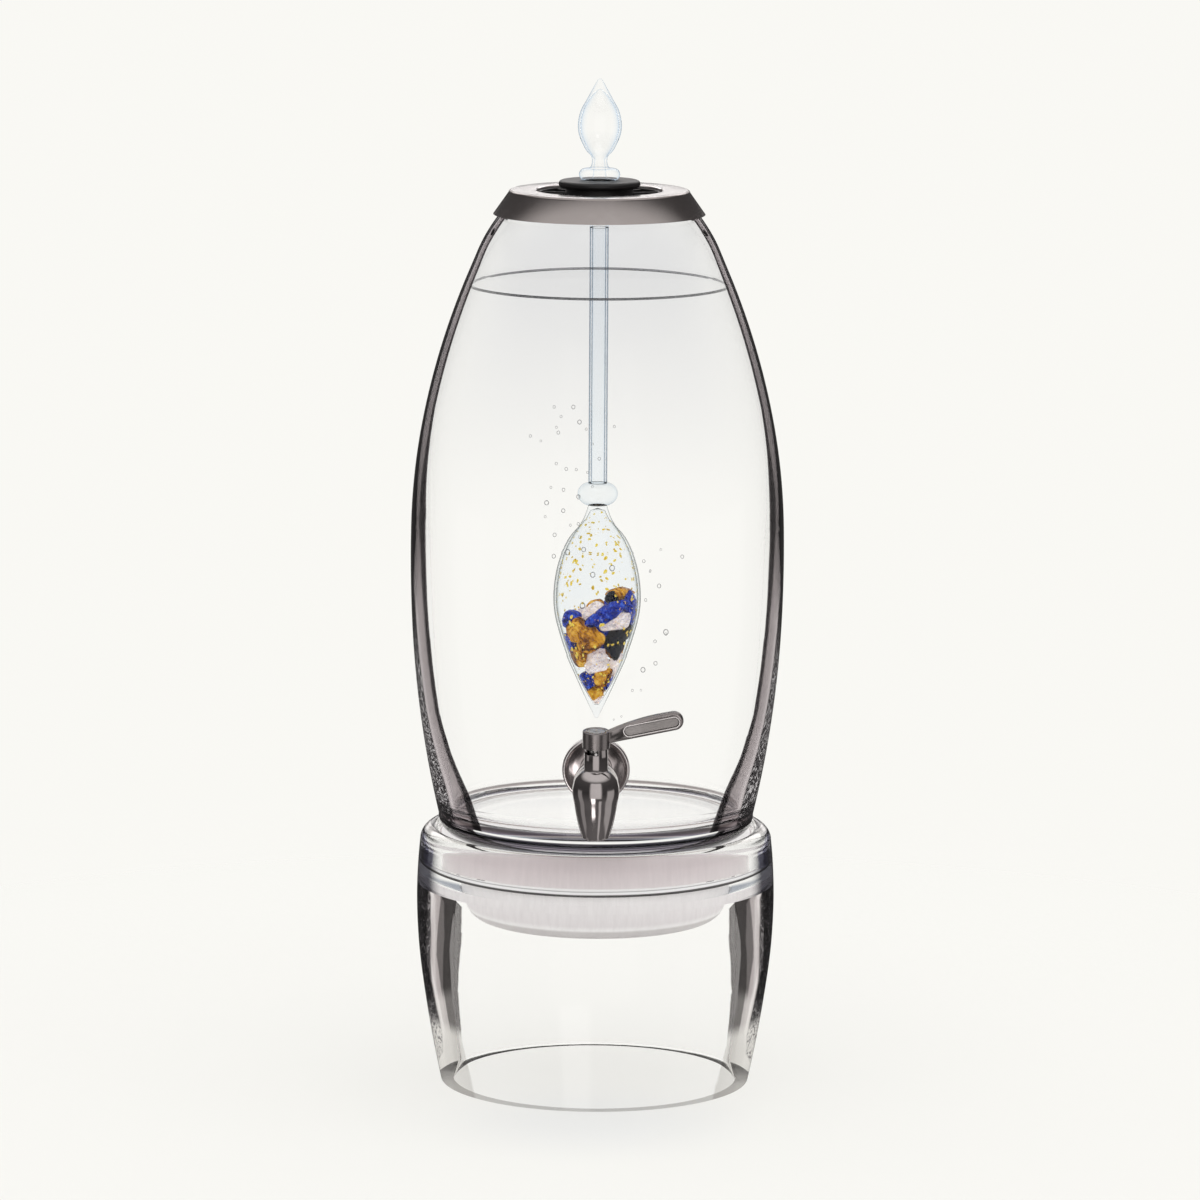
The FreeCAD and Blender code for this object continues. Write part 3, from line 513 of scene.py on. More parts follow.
@dataclass(frozen=True)
class FrostedGlass(Finish):
    """Sand-blasted glass, darker and pinker at the collar than in the basin, most at its top.

    Its colours hold painted shade and light: a grey strip with a light line low on the
    basin's outside, and a darker floor and rim inside. The light the wall gives off is painted light.

    Args:
        colours: colours over the heights, painted shade and light among them.
        painted_glow: painted light given off by the wall, though it is no lamp.
        heights: lowest and highest height of the colours.
        brushed: colour of the fine upright marks.
        through: share of soft light that passes the wall.
    """

    colours: Stops
    painted_glow: float = 0.0
    heights: Station = (0.10, 0.1526)
    brushed: Triple = (0.36, 0.31, 0.32)
    through: float = 0.96

    def shader(self, graph: Graph) -> Wire:
        """Shader of the finish."""
        place = graph.place()
        brushed = graph.noise(graph.stretch(place, (1.0, 1.0, 0.15)), 420.0, 3.0, 0.6)
        cloud = graph.noise(graph.stretch(place, (1.0, 1.0, 3.0)), 18.0, 4.0)
        grain = graph.noise(place, 3500.0, 2.0, 0.6)
        colour = graph.ramp(graph.span(graph.part(place, 2), self.heights), self.colours)
        colour = graph.blend(graph.span(cloud, (0.35, 0.75), (0.0, 0.08)), colour, WHITE)
        colour = graph.blend(graph.span(brushed, (0.35, 0.75), (0.0, 0.13)), colour, self.brushed)
        frost = graph.surface(
            colour, graph.span(grain, (0.3, 0.7), (0.38, 0.6)), Normal=graph.bump(grain, 0.00004, 0.6),
            # painted light: the wall glows in its own colour, though it is no lamp
            Specular_IOR_Level=0.3, Emission_Color=colour, Emission_Strength=self.painted_glow,
        )
        return graph.let_through(frost, self.through)


@dataclass(frozen=True)
class Metal(Finish):
    """Plated metal, satin or polished, with brushed streaks or a cast grain.

    Args:
        colour: the plating's colour.
        worn: colour at rubbed spots.
        rough: lowest and highest roughness.
        streak: scale of the marks along X, Y and Z.
        depth: depth of the marks in metres.
        soft_edge: radius by which edges look rounded, in metres.
    """

    colour: Triple
    worn: Triple
    rough: Station
    streak: Triple
    depth: float
    soft_edge: float = 0.0

    def shader(self, graph: Graph) -> Wire:
        """Shader of the finish."""
        place = graph.place()
        marks = graph.noise(graph.stretch(place, self.streak), 900.0, 4.0, 0.65)
        cloud = graph.noise(place, 55.0, 3.0, 0.6)
        under = None
        if self.soft_edge:
            under = graph.add("ShaderNodeBevel", {"samples": 4}, {"Radius": self.soft_edge})
        return graph.surface(
            graph.blend(graph.step(cloud, 0.45, 0.75), self.colour, self.worn),
            graph.span(marks * 0.5 + cloud * 0.5, (0.35, 0.65), self.rough),
            Metallic=1.0, Normal=graph.bump(marks, self.depth, 1.0, under),
        )


@dataclass(frozen=True)
class Soft(Finish):
    """Silicone or moulded plastic with a fine skin texture."""

    colour: Triple
    dust: Triple
    rough: Station
    grain: float

    def shader(self, graph: Graph) -> Wire:
        """Shader of the finish."""
        place = graph.place()
        cloud = graph.noise(place, 45.0, 4.0, 0.6)
        return graph.surface(
            graph.blend(graph.span(cloud, (0.4, 0.8), (0.0, 0.5)), self.colour, self.dust),
            graph.span(cloud, (0.3, 0.7), self.rough),
            Normal=graph.bump(graph.noise(place, self.grain, 3.0, 0.6), 0.00002, 0.5),
        )


@dataclass(frozen=True)
class PolishedStone(Finish):
    """Tumbled stone with veins, bands and bright grains.

    Args:
        colours: colours from the darkest to the lightest patch.
        patch: scale of the patches.
        grains: share of the surface with gold grains.
        bands: strength of silky bands.
        grain_colour: colour of the grains.
        rough: lowest and highest roughness.
    """

    colours: Stops
    patch: float
    grains: float
    bands: float = 0.0
    grain_colour: Triple = (0.95, 0.62, 0.08)
    rough: Station = (0.12, 0.264)

    def shader(self, graph: Graph) -> Wire:
        """Shader of the finish."""
        place = graph.place()
        cloud = graph.noise(place, self.patch, 6.0, 0.62, 0.8)
        value = cloud
        if self.bands:
            settings = {"wave_type": "BANDS", "bands_direction": "DIAGONAL", "wave_profile": "SIN"}
            inputs = {"Vector": place, "Scale": 150.0, "Distortion": 9.0, "Detail": 3.0, "Detail Scale": 1.4}
            wave = graph.add("ShaderNodeTexWave", settings, inputs, "Fac")
            value = cloud * (1.0 - self.bands) + wave * self.bands
        grain = graph.step(graph.noise(place, 620.0, 2.0), 0.78 - self.grains, 0.80 - self.grains)
        return graph.surface(
            graph.blend(grain, graph.ramp(value, self.colours), self.grain_colour),
            graph.span(cloud, (0.3, 0.7), self.rough),
            Specular_IOR_Level=0.06, Normal=graph.bump(cloud, 0.0002, 0.5),
        )


@dataclass(frozen=True)
class ClearStone(Finish):
    """Rock crystal with needles and milky wisps; the milky rock has a painted glow."""

    needles: Stops

    def shader(self, graph: Graph) -> Wire:
        """Shader of the finish."""
        place = graph.place()
        needles = graph.noise(graph.stretch(place, (1.0, 0.25, 1.6)), 420.0, 3.0, 0.6, 2.5)
        wisp = graph.noise(place, 180.0, 4.0, 0.6)
        colour, normal = graph.ramp(needles, self.needles), graph.bump(wisp, 0.0006, 0.7)
        # painted light: the milky rock glows in its own colour, though it is no lamp
        rock = graph.surface(
            colour, 0.2, Coat_Weight=0.6, Coat_Roughness=0.04,
            Emission_Color=colour, Emission_Strength=0.3, Normal=normal,
        )
        glass = see_through(graph, colour, 0.9, normal=normal)
        return graph.mix(graph.span(wisp, (0.35, 0.65), (0.25, 0.8)), glass, rock)


@dataclass(frozen=True)
class GoldLeaf(Finish):
    """Crumpled gold leaf."""

    shades: Stops

    def shader(self, graph: Graph) -> Wire:
        """Shader of the finish."""
        crumple = graph.noise(graph.place(), 900.0, 3.0, 0.6)
        return graph.surface(
            graph.ramp(crumple, self.shades), graph.span(crumple, (0.3, 0.7), (0.25, 0.45)),
            Metallic=0.2, Normal=graph.bump(crumple, 0.0003),
        )


@dataclass(frozen=True)
class WaterEdge(Finish):
    """Skin of water or of a bubble: clear face on, a line of painted shade where it is seen edge on."""

    line: Triple
    cover: Stops

    def shader(self, graph: Graph) -> Wire:
        """Shader of the finish."""
        cover = graph.ramp(graph.facing() + graph.waver(0.2, graph.place(), 700.0, 2.0), self.cover)
        return graph.mix(cover, graph.clear(), graph.surface(self.line, 0.05))


@dataclass(frozen=True)
class WaterLine(Finish):
    """Meniscus seen as a broken line of painted shade, stronger from outside than from inside."""

    line: Triple
    cover: Station

    def shader(self, graph: Graph) -> Wire:
        """Shader of the finish."""
        cover = graph.span(graph.noise(graph.place(), 25.0), (0.2, 0.8), self.cover)
        return graph.mix(cover, graph.clear(), graph.surface(self.line, 0.1))


@dataclass(frozen=True)
class Paper(Finish):
    """Pale paper that fades into the backdrop, and from below lets everything through.

    A soft shadow under the object is painted on it.

    Args:
        colour: the paper's colour.
        shade: painted colour of the object's soft shadow.
        shade_place: middle of the painted shadow.
        shade_reach: distances between which the painted shadow gives way to the paper.
        fade: distances between which the paper fades.
    """

    colour: Triple = (0.934, 0.927, 0.891)
    shade: Triple = (0.872, 0.872, 0.855)
    shade_place: Triple = (0.0, -0.12, 0.0)
    shade_reach: Station = (0.01, 0.115)
    fade: Station = (0.3, 0.9)

    def shader(self, graph: Graph) -> Wire:
        """Shader of the finish."""
        place = graph.place()
        under = graph.vector("DISTANCE", place, self.shade_place, "Value")
        # painted shadow: the paper darkens towards the middle of the shade
        colour = graph.blend(graph.step(under, *self.shade_reach), self.shade, self.colour)
        shown = 1.0 - graph.step(graph.vector("LENGTH", place, None, "Value"), *self.fade)
        above = 1.0 - graph.add("ShaderNodeNewGeometry", None, None, "Backfacing")
        paper = graph.add("ShaderNodeBsdfDiffuse", None, {"Color": colour})
        return graph.mix(1.0 - shown * above, paper, graph.clear())


# meshes
class Profile:
    """Half section (radius, height) in millimetres, drawn edge by edge and turned about Z."""

    def __init__(self, radius: float, height: float, finish: int = 0) -> None:
        """Start at a point.

        Args:
            radius: distance from the axis.
            height: height of the point.
            finish: material slot of the first edges.
        """
        self.points: list[Vector] = [Vector((radius, height))]
        self.finishes: list[int] = []
        self.finish = finish

    def paint(self, finish: int) -> "Profile":
        """Choose the material slot of the edges that follow."""
        self.finish = finish
        return self

    def _add(self, point: Vector) -> None:
        """Add a point unless it repeats the last one.

        Args:
            point: radius and height.
        """
        if (point - self.points[-1]).length > 1e-5:
            self.points.append(point)
            self.finishes.append(self.finish)

    def line(self, radius: float, height: float) -> "Profile":
        """Straight edge to a point."""
        self._add(Vector((radius, height)))
        return self

    def _sweep(self, centre: Vector, radius: float, start: float, sweep: float) -> None:
        """Round stretch in steps that stay near the circle.

        Args:
            centre: its centre.
            radius: its radius.
            start: first angle, in radians.
            sweep: angle that it turns through, negative when clockwise.
        """
        step = min(math.radians(7.0), 2.0 * math.acos(1.0 - min(0.5, 0.015 / radius)))
        count = max(2, math.ceil(abs(sweep) / step))
        for index in range(count + 1):
            turn = start + sweep * index / count
            self._add(centre + Vector((math.cos(turn), math.sin(turn))) * radius)

    def arc(self, centre_r: float, centre_z: float, radius: float, start: float, stop: float) -> "Profile":
        """Round stretch about a centre, from one angle to another, in degrees."""
        self._sweep(Vector((centre_r, centre_z)), radius, math.radians(start), math.radians(stop - start))
        return self

    def leave(self, heading: Vector, end: Vector) -> None:
        """Arc that leaves the last point along a heading and ends at another point.

        Args:
            heading: unit vector.
            end: where the arc ends.
        """
        start = self.points[-1].copy()
        chord = end - start
        side = Vector((-heading.y, heading.x))
        rise = chord.dot(side)
        if abs(rise) < 1e-6 * chord.length:
            self._add(end)
            return
        radius = chord.length_squared / (2.0 * rise)
        centre = start + side * radius
        first = math.atan2(start.y - centre.y, start.x - centre.x)
        last = math.atan2(end.y - centre.y, end.x - centre.x)
        sweep = (last - first + math.pi) % (2.0 * math.pi) - math.pi
        self._sweep(centre, abs(radius), first, sweep)

    def bow(self, through: Station, radius: float, height: float) -> "Profile":
        """Arc through one point to another.

        Args:
            through: a point on the way.
            radius: distance of the end from the axis.
            height: height of the end.

        Returns:
            The profile.
        """
        start, end, middle = self.points[-1], Vector((radius, height)), Vector(through)
        half, rest, far = middle - start, end - start, end - middle
        heading = half.normalized()
        heading.rotate(Matrix.Rotation(math.atan2(rest.y, rest.x) - math.atan2(far.y, far.x), 2))
        self.leave(heading, end)
        return self

    def curve(self, stations: Iterable[Station]) -> "Profile":
        """Smooth run of arcs from the last point through (radius, height) stations.

        Args:
            stations: at least two points to pass.

        Returns:
            The profile.
        """
        points = [self.points[-1].copy()] + [Vector(station) for station in stations]
        chords = [end - start for start, end in zip(points, points[1:])]
        headings = []
        for before, after in zip(chords, chords[1:]):
            heading = before.normalized() * after.length + after.normalized() * before.length
            headings.append(heading.normalized())
        headings.insert(0, mirrored(headings[0], chords[0]))
        headings.append(mirrored(headings[-1], chords[-1]))
        for index, chord in enumerate(chords):
            leave, arrive = headings[index], headings[index + 1]
            spread = 2.0 * (1.0 - leave.dot(arrive))
            lean = chord.dot(leave + arrive)
            reach = chord.length_squared / (2.0 * lean)
            if spread > 1e-9:
                reach = (math.sqrt(lean * lean + spread * chord.length_squared) - lean) / spread
            start, end = points[index], points[index + 1]
            joint = (start + leave * reach + end - arrive * reach) * 0.5
            self.leave(leave, joint)
            self.leave(mirrored(leave, joint - start), end)
        return self

    def radius_at(self, height: float) -> float:
        """Largest radius of the section at a height, or 0 outside it.

        Args:
            height: the height.

        Returns:
            The radius.
        """
        found = 0.0
        for start, end in zip(self.points, self.points[1:]):
            low, high = sorted((start.y, end.y))
            if low <= height <= high and high > low:
                found = max(found, start.x + (end.x - start.x) * (height - start.y) / (end.y - start.y))
        return found


def mirrored(heading: Vector, chord: Vector) -> Vector:
    """The heading at the other end of the arc that spans a chord."""
    along = chord.normalized()
    return along * (2.0 * along.dot(heading)) - heading


def turned(
    name: str, profile: Profile, around: int = 160, cavity: Optional[Profile] = None,
) -> bpy.types.Mesh:
    """Turn a section about Z into a closed mesh.

    Args:
        name: the mesh's name.
        profile: the section.
        around: steps round the axis.
        cavity: section of a closed hollow in it.

    Returns:
        The mesh, in metres.
    """
    verts: list[Triple] = []
    faces: Faces = []
    slots: list[int] = []
    for section in filter(None, (profile, cavity)):
        points, finishes = list(section.points), list(section.finishes)
        if (points[0] - points[-1]).length < 1e-5:
            points.pop()
        area = sum(a.x * b.y - b.x * a.y for a, b in zip(points, points[1:] + points[:1]))
        if (area < 0) != (section is cavity):
            points.reverse()
            finishes = finishes[: len(points) - 1][::-1] + finishes[len(points) - 1:]
        rings = []
        for point in points:
            if point.x < 1e-6:
                rings.append([len(verts)] * around)
                verts.append((0.0, 0.0, point.y * MM))
                continue
            rings.append(list(range(len(verts), len(verts) + around)))
            for index in range(around):
                turn = 2.0 * math.pi * index / around
                verts.append((point.x * MM * math.cos(turn), point.x * MM * math.sin(turn), point.y * MM))
        for place, low in enumerate(rings):
            high = rings[(place + 1) % len(rings)]
            if low[0] == low[1] and high[0] == high[1]:
                continue
            for index in range(around):
                after = (index + 1) % around
                faces.append(tuple(dict.fromkeys((low[index], low[after], high[after], high[index]))))
                slots.append(finishes[min(place, len(finishes) - 1)])
    mesh = bpy.data.meshes.new(name)
    mesh.from_pydata(verts, [], faces)
    mesh.polygons.foreach_set("material_index", slots)
    smooth(mesh)
    return mesh


def smooth(mesh: bpy.types.Mesh, sharp: float = 30.0) -> None:
    """Shade a mesh smooth, except at edges over an angle in degrees.

    Args:
        mesh: the mesh.
        sharp: the angle.
    """
    mesh.shade_smooth()
    mesh.set_sharp_from_angle(angle=math.radians(sharp))
    mesh.update()


def placed(name: str, data: bpy.types.ID) -> bpy.types.Object:
    """Object of a mesh, lamp or camera in the scene.

    Args:
        name: the object's name.
        data: the mesh, lamp or camera.

    Returns:
        The object.
    """
    result = bpy.data.objects.new(name, data)
    bpy.context.scene.collection.objects.link(result)
    return result


def baked(source: bpy.types.Object, name: str) -> bpy.types.Object:
    """Plain copy of an object with its modifiers applied; the source goes.

    Args:
        source: the object.
        name: the copy's name.

    Returns:
        The copy.
    """
    graph = bpy.context.evaluated_depsgraph_get()
    mesh = bpy.data.meshes.new_from_object(source.evaluated_get(graph), depsgraph=graph)
    mesh.name = name
    bpy.data.objects.remove(source)
    return placed(name, mesh)


def finish_piece(
    piece: bpy.types.Object, body: Body, finishes: Sequence[Finish], node: str = "",
) -> None:
    """Dress a piece and hang it on its body.

    Args:
        piece: the object.
        body: the body that it rides on.
        finishes: its finishes, one for each material slot.
        node: the CAD node that it stands for, if any.
    """
    if piece.data.materials:
        piece.data.materials.clear()
    for finish in finishes:
        piece.data.materials.append(finish.material())
    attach(piece, body.value)
    if node:
        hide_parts(node)
    LOG.info("%s: %d faces on %s", piece.name, len(piece.data.polygons), body.value)


def turn_piece(
    name: str,
    profile: Profile,
    body: Body,
    finishes: Sequence[Finish],
    node: str = "",
    around: int = 160,
    cavity: Optional[Profile] = None,
) -> None:
    """Turn a section into a piece, dress it and hang it on its body.

    Args:
        name: the piece's name.
        profile: its section.
        body: the body that it rides on.
        finishes: its finishes, one for each material slot.
        node: the CAD node that it stands for, if any.
        around: steps round the axis.
        cavity: section of a closed hollow in it.
    """
    finish_piece(placed(name, turned(name, profile, around, cavity)), body, finishes, node)


def repaint(finish: Finish, *nodes: str) -> None:
    """Give CAD nodes a new finish.

    Args:
        finish: the finish.
        nodes: names of the nodes.
    """
    for node in nodes:
        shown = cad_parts[node]
        if not shown.material_slots:
            shown.data.materials.append(finish.material())
        for slot in shown.material_slots:
            slot.material = finish.material()
        LOG.info("%s: keeps its shape", node)


class Pattern:
    """A Geometry Nodes tree with named inputs, run once on an object and kept as a plain mesh."""

    def __init__(self, name: str) -> None:
        """Start a tree with one geometry input and output."""
        self.tree = bpy.data.node_groups.new(name, "GeometryNodeTree")
        self.graph = Graph(self.tree)
        for way in ("INPUT", "OUTPUT"):
            self.tree.interface.new_socket("Geometry", in_out=way, socket_type="NodeSocketGeometry")
        self.source = self.graph.add("NodeGroupInput", None, None, "Geometry")
        self.values: dict[str, float] = {}

    def number(self, name: str, value: float) -> Wire:
        """Named number input, whole where its value is.

        Args:
            name: the input's name.
            value: its value.

        Returns:
            The wire from it.
        """
        kind = "NodeSocketInt" if isinstance(value, int) else "NodeSocketFloat"
        socket = self.tree.interface.new_socket(name, in_out="INPUT", socket_type=kind)
        self.values[socket.identifier] = value
        return self.source.out(name)

    def run(self, geometry: Wire, finish: Finish, source: bpy.types.Object, name: str) -> bpy.types.Object:
        """End the tree with real geometry in one material and run it on an object.

        Args:
            geometry: what the tree has made.
            finish: its finish.
            source: the object, which goes.
            name: the result's name.

        Returns:
            The result alone, as a plain mesh.
        """
        real = self.graph.add("GeometryNodeRealizeInstances", None, {0: geometry})
        inputs = {"Geometry": real, "Material": finish.material()}
        self.graph.add("NodeGroupOutput", None, {0: self.graph.add("GeometryNodeSetMaterial", None, inputs)})
        modifier = source.modifiers.new("pattern", "NODES")
        modifier.node_group = self.tree
        for identifier, value in self.values.items():
            modifier[identifier] = value
        return baked(source, name)


# finishes of this dispenser
# painted light and shade in the thick glass: edge bands with dark rims, level lines, flecks and the jar's
# grey-blue shade
BODY_LINES: Stops = (
    (0, 1, 1, 1), (0.03, 0.2, 0.19, 0.19), (0.08, 0.26, 0.25, 0.25), (0.44, 0.24, 0.23, 0.23),
    (0.48, 0.66, 0.63, 0.635), (0.7, 0.72, 0.69, 0.695), (0.8, 0.95, 0.93, 0.935),
    (0.92, 0.8, 0.77, 0.775), (1, 0.2, 0.19, 0.19),
)
FOOT_LINES: Stops = (
    (0, 1, 1, 1), (0.04, 0.78, 0.77, 0.76), (0.4, 0.86, 0.85, 0.84), (0.48, 0.92, 0.91, 0.9),
    (0.8, 0.94, 0.93, 0.92), (0.93, 0.96, 0.95, 0.94), (1, 0.7, 0.69, 0.68),
)
STAND_SKIN = EdgeGlass(
    "stand_glass",
    heights=(0.0, 0.15),
    starts=((0.07, 0.445), (0.233, 0.462), (0.44, 0.435), (0.65, 0.365), (0.80, 0.345), (0.84, 0.42)),
    rims=((0.07, 0.9), (0.15, 0.5), (0.233, 0.40), (0.44, 0.50), (0.65, 0.44), (1.0, 0.42)),
    zones=(
        Zone(FOOT_LINES, (0.86, 0.85, 0.84), (0.036, 0.046)),
        Zone(BODY_LINES, (0.075, 0.072, 0.075)),
    ),
    flecks=(0.11, 0.14),
    fleck=(0.34, 0.33, 0.34),
    ripple=0.08,
    straight=True,
)
RING_SKIN = EdgeGlass(
    "ring_glass",
    heights=(0.124, 0.154),
    starts=((0.0, 0.42), (0.10, 0.86), (0.42, 0.86), (0.47, 0.60), (0.80, 0.60), (1.0, 0.75)),
    rims=((0.0, 1.0), (1.0, 1.0)),
    zones=(
        Zone(
            ((0, 1, 1, 1), (0.4, 0.35, 0.34, 0.36), (0.6, 1, 1, 1), (1, 0.2, 0.2, 0.22)),
            (0.05, 0.05, 0.06),
            (0.1365, 0.1375),
        ),
        Zone(
            (
                (0, 1, 1, 1), (0.06, 0.5, 0.5, 0.62), (0.16, 0.85, 0.85, 0.92), (0.24, 0.22, 0.22, 0.32),
                (0.52, 0.15, 0.148, 0.16), (0.62, 0.48, 0.48, 0.54), (0.7, 0.16, 0.16, 0.18),
                (1, 0.14, 0.14, 0.15),
            ),
            (0.12, 0.12, 0.12),
        ),
    ),
    rings=Rings(
        (0.146, 0.1565),
        ((0, 1, 1, 1), (0.93, 1, 1, 1), (0.97, 0.3, 0.22, 0.19), (1, 0.8, 0.76, 0.75)),
        (
            (0, 0.1, 0.1, 0.12), (0.1, 0.85, 0.85, 0.86), (0.22, 0.12, 0.11, 0.12), (0.34, 1, 1, 1),
            (0.45, 0.3, 0.29, 0.3), (0.56, 1, 1, 1), (0.72, 0.1, 0.1, 0.1), (0.8, 1, 1, 1), (1, 1, 1, 1),
        ),
        (0.50, 0.66),
    ),
    ripple=0.05,
)
JAR_SKIN = EdgeGlass(
    "jar_glass",
    heights=(0.15, 0.54),
    starts=(
        (0.0, 0.36), (0.10, 0.42), (0.155, 0.50), (0.215, 0.56), (0.37, 0.595), (0.525, 0.615), (0.68, 0.67),
        (1.0, 0.65),
    ),
    rims=(
        (0.10, 0.38), (0.215, 0.42), (0.37, 0.53), (0.45, 0.75), (0.50, 1.0), (0.56, 0.95), (0.63, 0.62),
        (0.70, 0.5), (0.84, 0.42), (1.0, 0.4),
    ),
    zones=(
        Zone(
            (
                (0, 1, 1, 1), (0.03, 0.1, 0.092, 0.096), (0.1, 0.042, 0.038, 0.04),
                (0.22, 0.055, 0.05, 0.052), (0.31, 0.33, 0.295, 0.305), (0.7, 0.46, 0.415, 0.43),
                (0.84, 0.62, 0.57, 0.59), (0.94, 0.52, 0.475, 0.49), (1, 0.07, 0.065, 0.068),
            ),
            (0.050, 0.046, 0.049),
        ),
    ),
    rings=Rings(
        (0.153, 0.170),
        (
            (0, 0.8, 0.77, 0.76), (0.08, 0.2, 0.14, 0.12), (0.13, 1, 1, 1), (0.27, 1, 1, 1),
            (0.31, 0.26, 0.24, 0.31), (0.42, 0.26, 0.245, 0.27), (0.55, 0.24, 0.23, 0.25), (0.6, 1, 1, 1),
            (0.7, 1, 1, 1), (0.75, 0.58, 0.52, 0.53), (0.81, 0.33, 0.3, 0.3), (0.88, 0.33, 0.3, 0.3),
            (0.95, 1, 1, 1),
        ),
        (
            (0, 0.75, 0.72, 0.72), (0.06, 0.18, 0.17, 0.18), (0.2, 0.28, 0.27, 0.28),
            (0.25, 0.14, 0.135, 0.14), (0.5, 0.13, 0.125, 0.135), (0.6, 0.4, 0.39, 0.4),
            (0.66, 0.16, 0.16, 0.17), (0.8, 0.5, 0.46, 0.47), (0.9, 0.22, 0.2, 0.21), (1, 1, 1, 1),
        ),
        (0.50, 0.60),
    ),
    flecks=(0.255, 0.285),
    ripple=0.10,
    painted_shade=0.11,
)
INNER_SKIN = InnerGlass("inner_glass")
STAND_INSIDE = InnerGlass("stand_inside", straight=True)
FOOT_EDGE = FootLine("foot_edge")
LEDGE_EDGE = LedgeLight(
    "ledge_edge",
    (0.129, 0.136),
    (
        (0, 0.06, 0.055, 0.055), (0.17, 0.08, 0.075, 0.075), (0.24, 0.97, 0.96, 0.96),
        (0.4, 0.97, 0.96, 0.96), (0.46, 0.42, 0.4, 0.41), (0.54, 0.95, 0.94, 0.94), (1, 0.97, 0.96, 0.96),
    ),
)
# wand glass: pale blue tint at the edge, with painted shade darkening it towards the silhouette
FINIAL_GLASS = WandGlass("finial_glass", (
    (0, 1, 1, 1), (0.22, 1, 1, 1), (0.42, 0.98, 0.99, 1), (0.62, 0.93, 0.96, 0.992),
    (0.8, 0.79, 0.865, 0.945), (0.92, 0.56, 0.67, 0.8), (1, 0.3, 0.38, 0.48),
), 0.5)
STEM_GLASS = WandGlass("stem_glass", (
    (0, 0.978, 0.988, 0.997), (0.4, 0.968, 0.982, 0.994), (0.5, 0.66, 0.71, 0.76), (0.8, 0.48, 0.53, 0.59),
    (0.92, 0.74, 0.78, 0.82), (1, 0.86, 0.9, 0.93),
), 0.3)
BEAD_GLASS = WandGlass("bead_glass", (
    (0, 0.975, 0.987, 0.996), (0.45, 0.955, 0.975, 0.99), (0.72, 0.86, 0.9, 0.93), (0.9, 0.62, 0.68, 0.73),
    (1, 0.28, 0.32, 0.36),
), 0.6)
DROP_GLASS = WandGlass("drop_glass", (
    (0, 0.978, 0.988, 0.997), (0.55, 0.97, 0.98, 0.99), (0.68, 0.9, 0.92, 0.925), (0.8, 0.58, 0.6, 0.605),
    (0.91, 0.28, 0.29, 0.295), (1, 0.14, 0.15, 0.15),
), 0.15)
# frosted bowl outside: painted shade and a painted light line low on the basin
FROST = FrostedGlass(
    "frosted_glass",
    colours=(
        (0, 0.62, 0.59, 0.59), (0.1, 0.64, 0.61, 0.61), (0.13, 0.97, 0.95, 0.95), (0.18, 0.84, 0.8, 0.805),
        (0.5, 0.94, 0.91, 0.91), (0.68, 0.96, 0.92, 0.925), (0.69, 0.78, 0.71, 0.715),
        (0.85, 0.7, 0.62, 0.63), (1, 0.56, 0.49, 0.5),
    ),
)
# frosted bowl inside: painted shade at the floor and rim, and a painted glow
FROST_INSIDE = FrostedGlass(
    "frosted_inside",
    colours=(
        (0, 0.78, 0.77, 0.75), (0.16, 0.82, 0.81, 0.79), (0.3, 0.9, 0.89, 0.875), (0.8, 0.97, 0.965, 0.95),
        (0.93, 0.985, 0.98, 0.965), (1, 0.8, 0.785, 0.775),
    ),
    painted_glow=0.17,
)
LID_SATIN = Metal("lid_satin", (0.4, 0.365, 0.355), (0.43, 0.395, 0.385), (0.2, 0.27), (1, 1, 9), 1.5e-6)
# painted light: the plate and the lip, of one pressed sheet with the cone, are coloured much lighter to stand
# in for the light on them
LID_PLATE = Metal("lid_plate", (0.84, 0.815, 0.805), (0.94, 0.925, 0.915), (0.14, 0.24), (1, 5, 1), 1e-6)
LID_LIP = Metal("lid_lip", (0.8, 0.76, 0.75), (0.88, 0.85, 0.84), (0.1, 0.16), (1, 1, 4), 1e-6)
TAP_POLISH = Metal("tap_polish", (0.48, 0.445, 0.44), (0.53, 0.495, 0.49), (0.07, 0.13), WHITE, 1e-6, 4e-4)
ROSE_POLISH = Metal("rose_polish", (0.74, 0.7, 0.695), (0.8, 0.76, 0.755), (0.1, 0.16), WHITE, 1e-6, 4e-4)
LEVER_SATIN = Metal(
    "lever_satin", (0.3, 0.275, 0.27), (0.36, 0.33, 0.325), (0.24, 0.34), (2, 1, 1), 4e-6, 5e-4,
)
BORDER_SATIN = Metal("border_satin", (0.72, 0.69, 0.68), (0.8, 0.77, 0.76), (0.2, 0.3), WHITE, 3e-6)
PANEL_GRAIN = Metal(
    "panel_grain", (0.34, 0.32, 0.31), (0.46, 0.435, 0.425), (0.4, 0.55), (0.35, 1, 1.4), 6e-5,
)
STEEL = Metal("spring_steel", (0.55, 0.54, 0.53), (0.62, 0.61, 0.6), (0.18, 0.3), (1, 1, 4), 2e-6)
DARK_SILICONE = Soft("dark_silicone", (0.007, 0.006, 0.006), (0.018, 0.015, 0.014), (0.36, 0.5), 1400.0)
LINER = Soft("liner_plastic", (0.55, 0.53, 0.52), (0.62, 0.6, 0.59), (0.4, 0.55), 900.0)
CLEAR_SILICONE = Soft("clear_silicone", (0.68, 0.67, 0.66), (0.75, 0.74, 0.73), (0.35, 0.5), 1100.0)
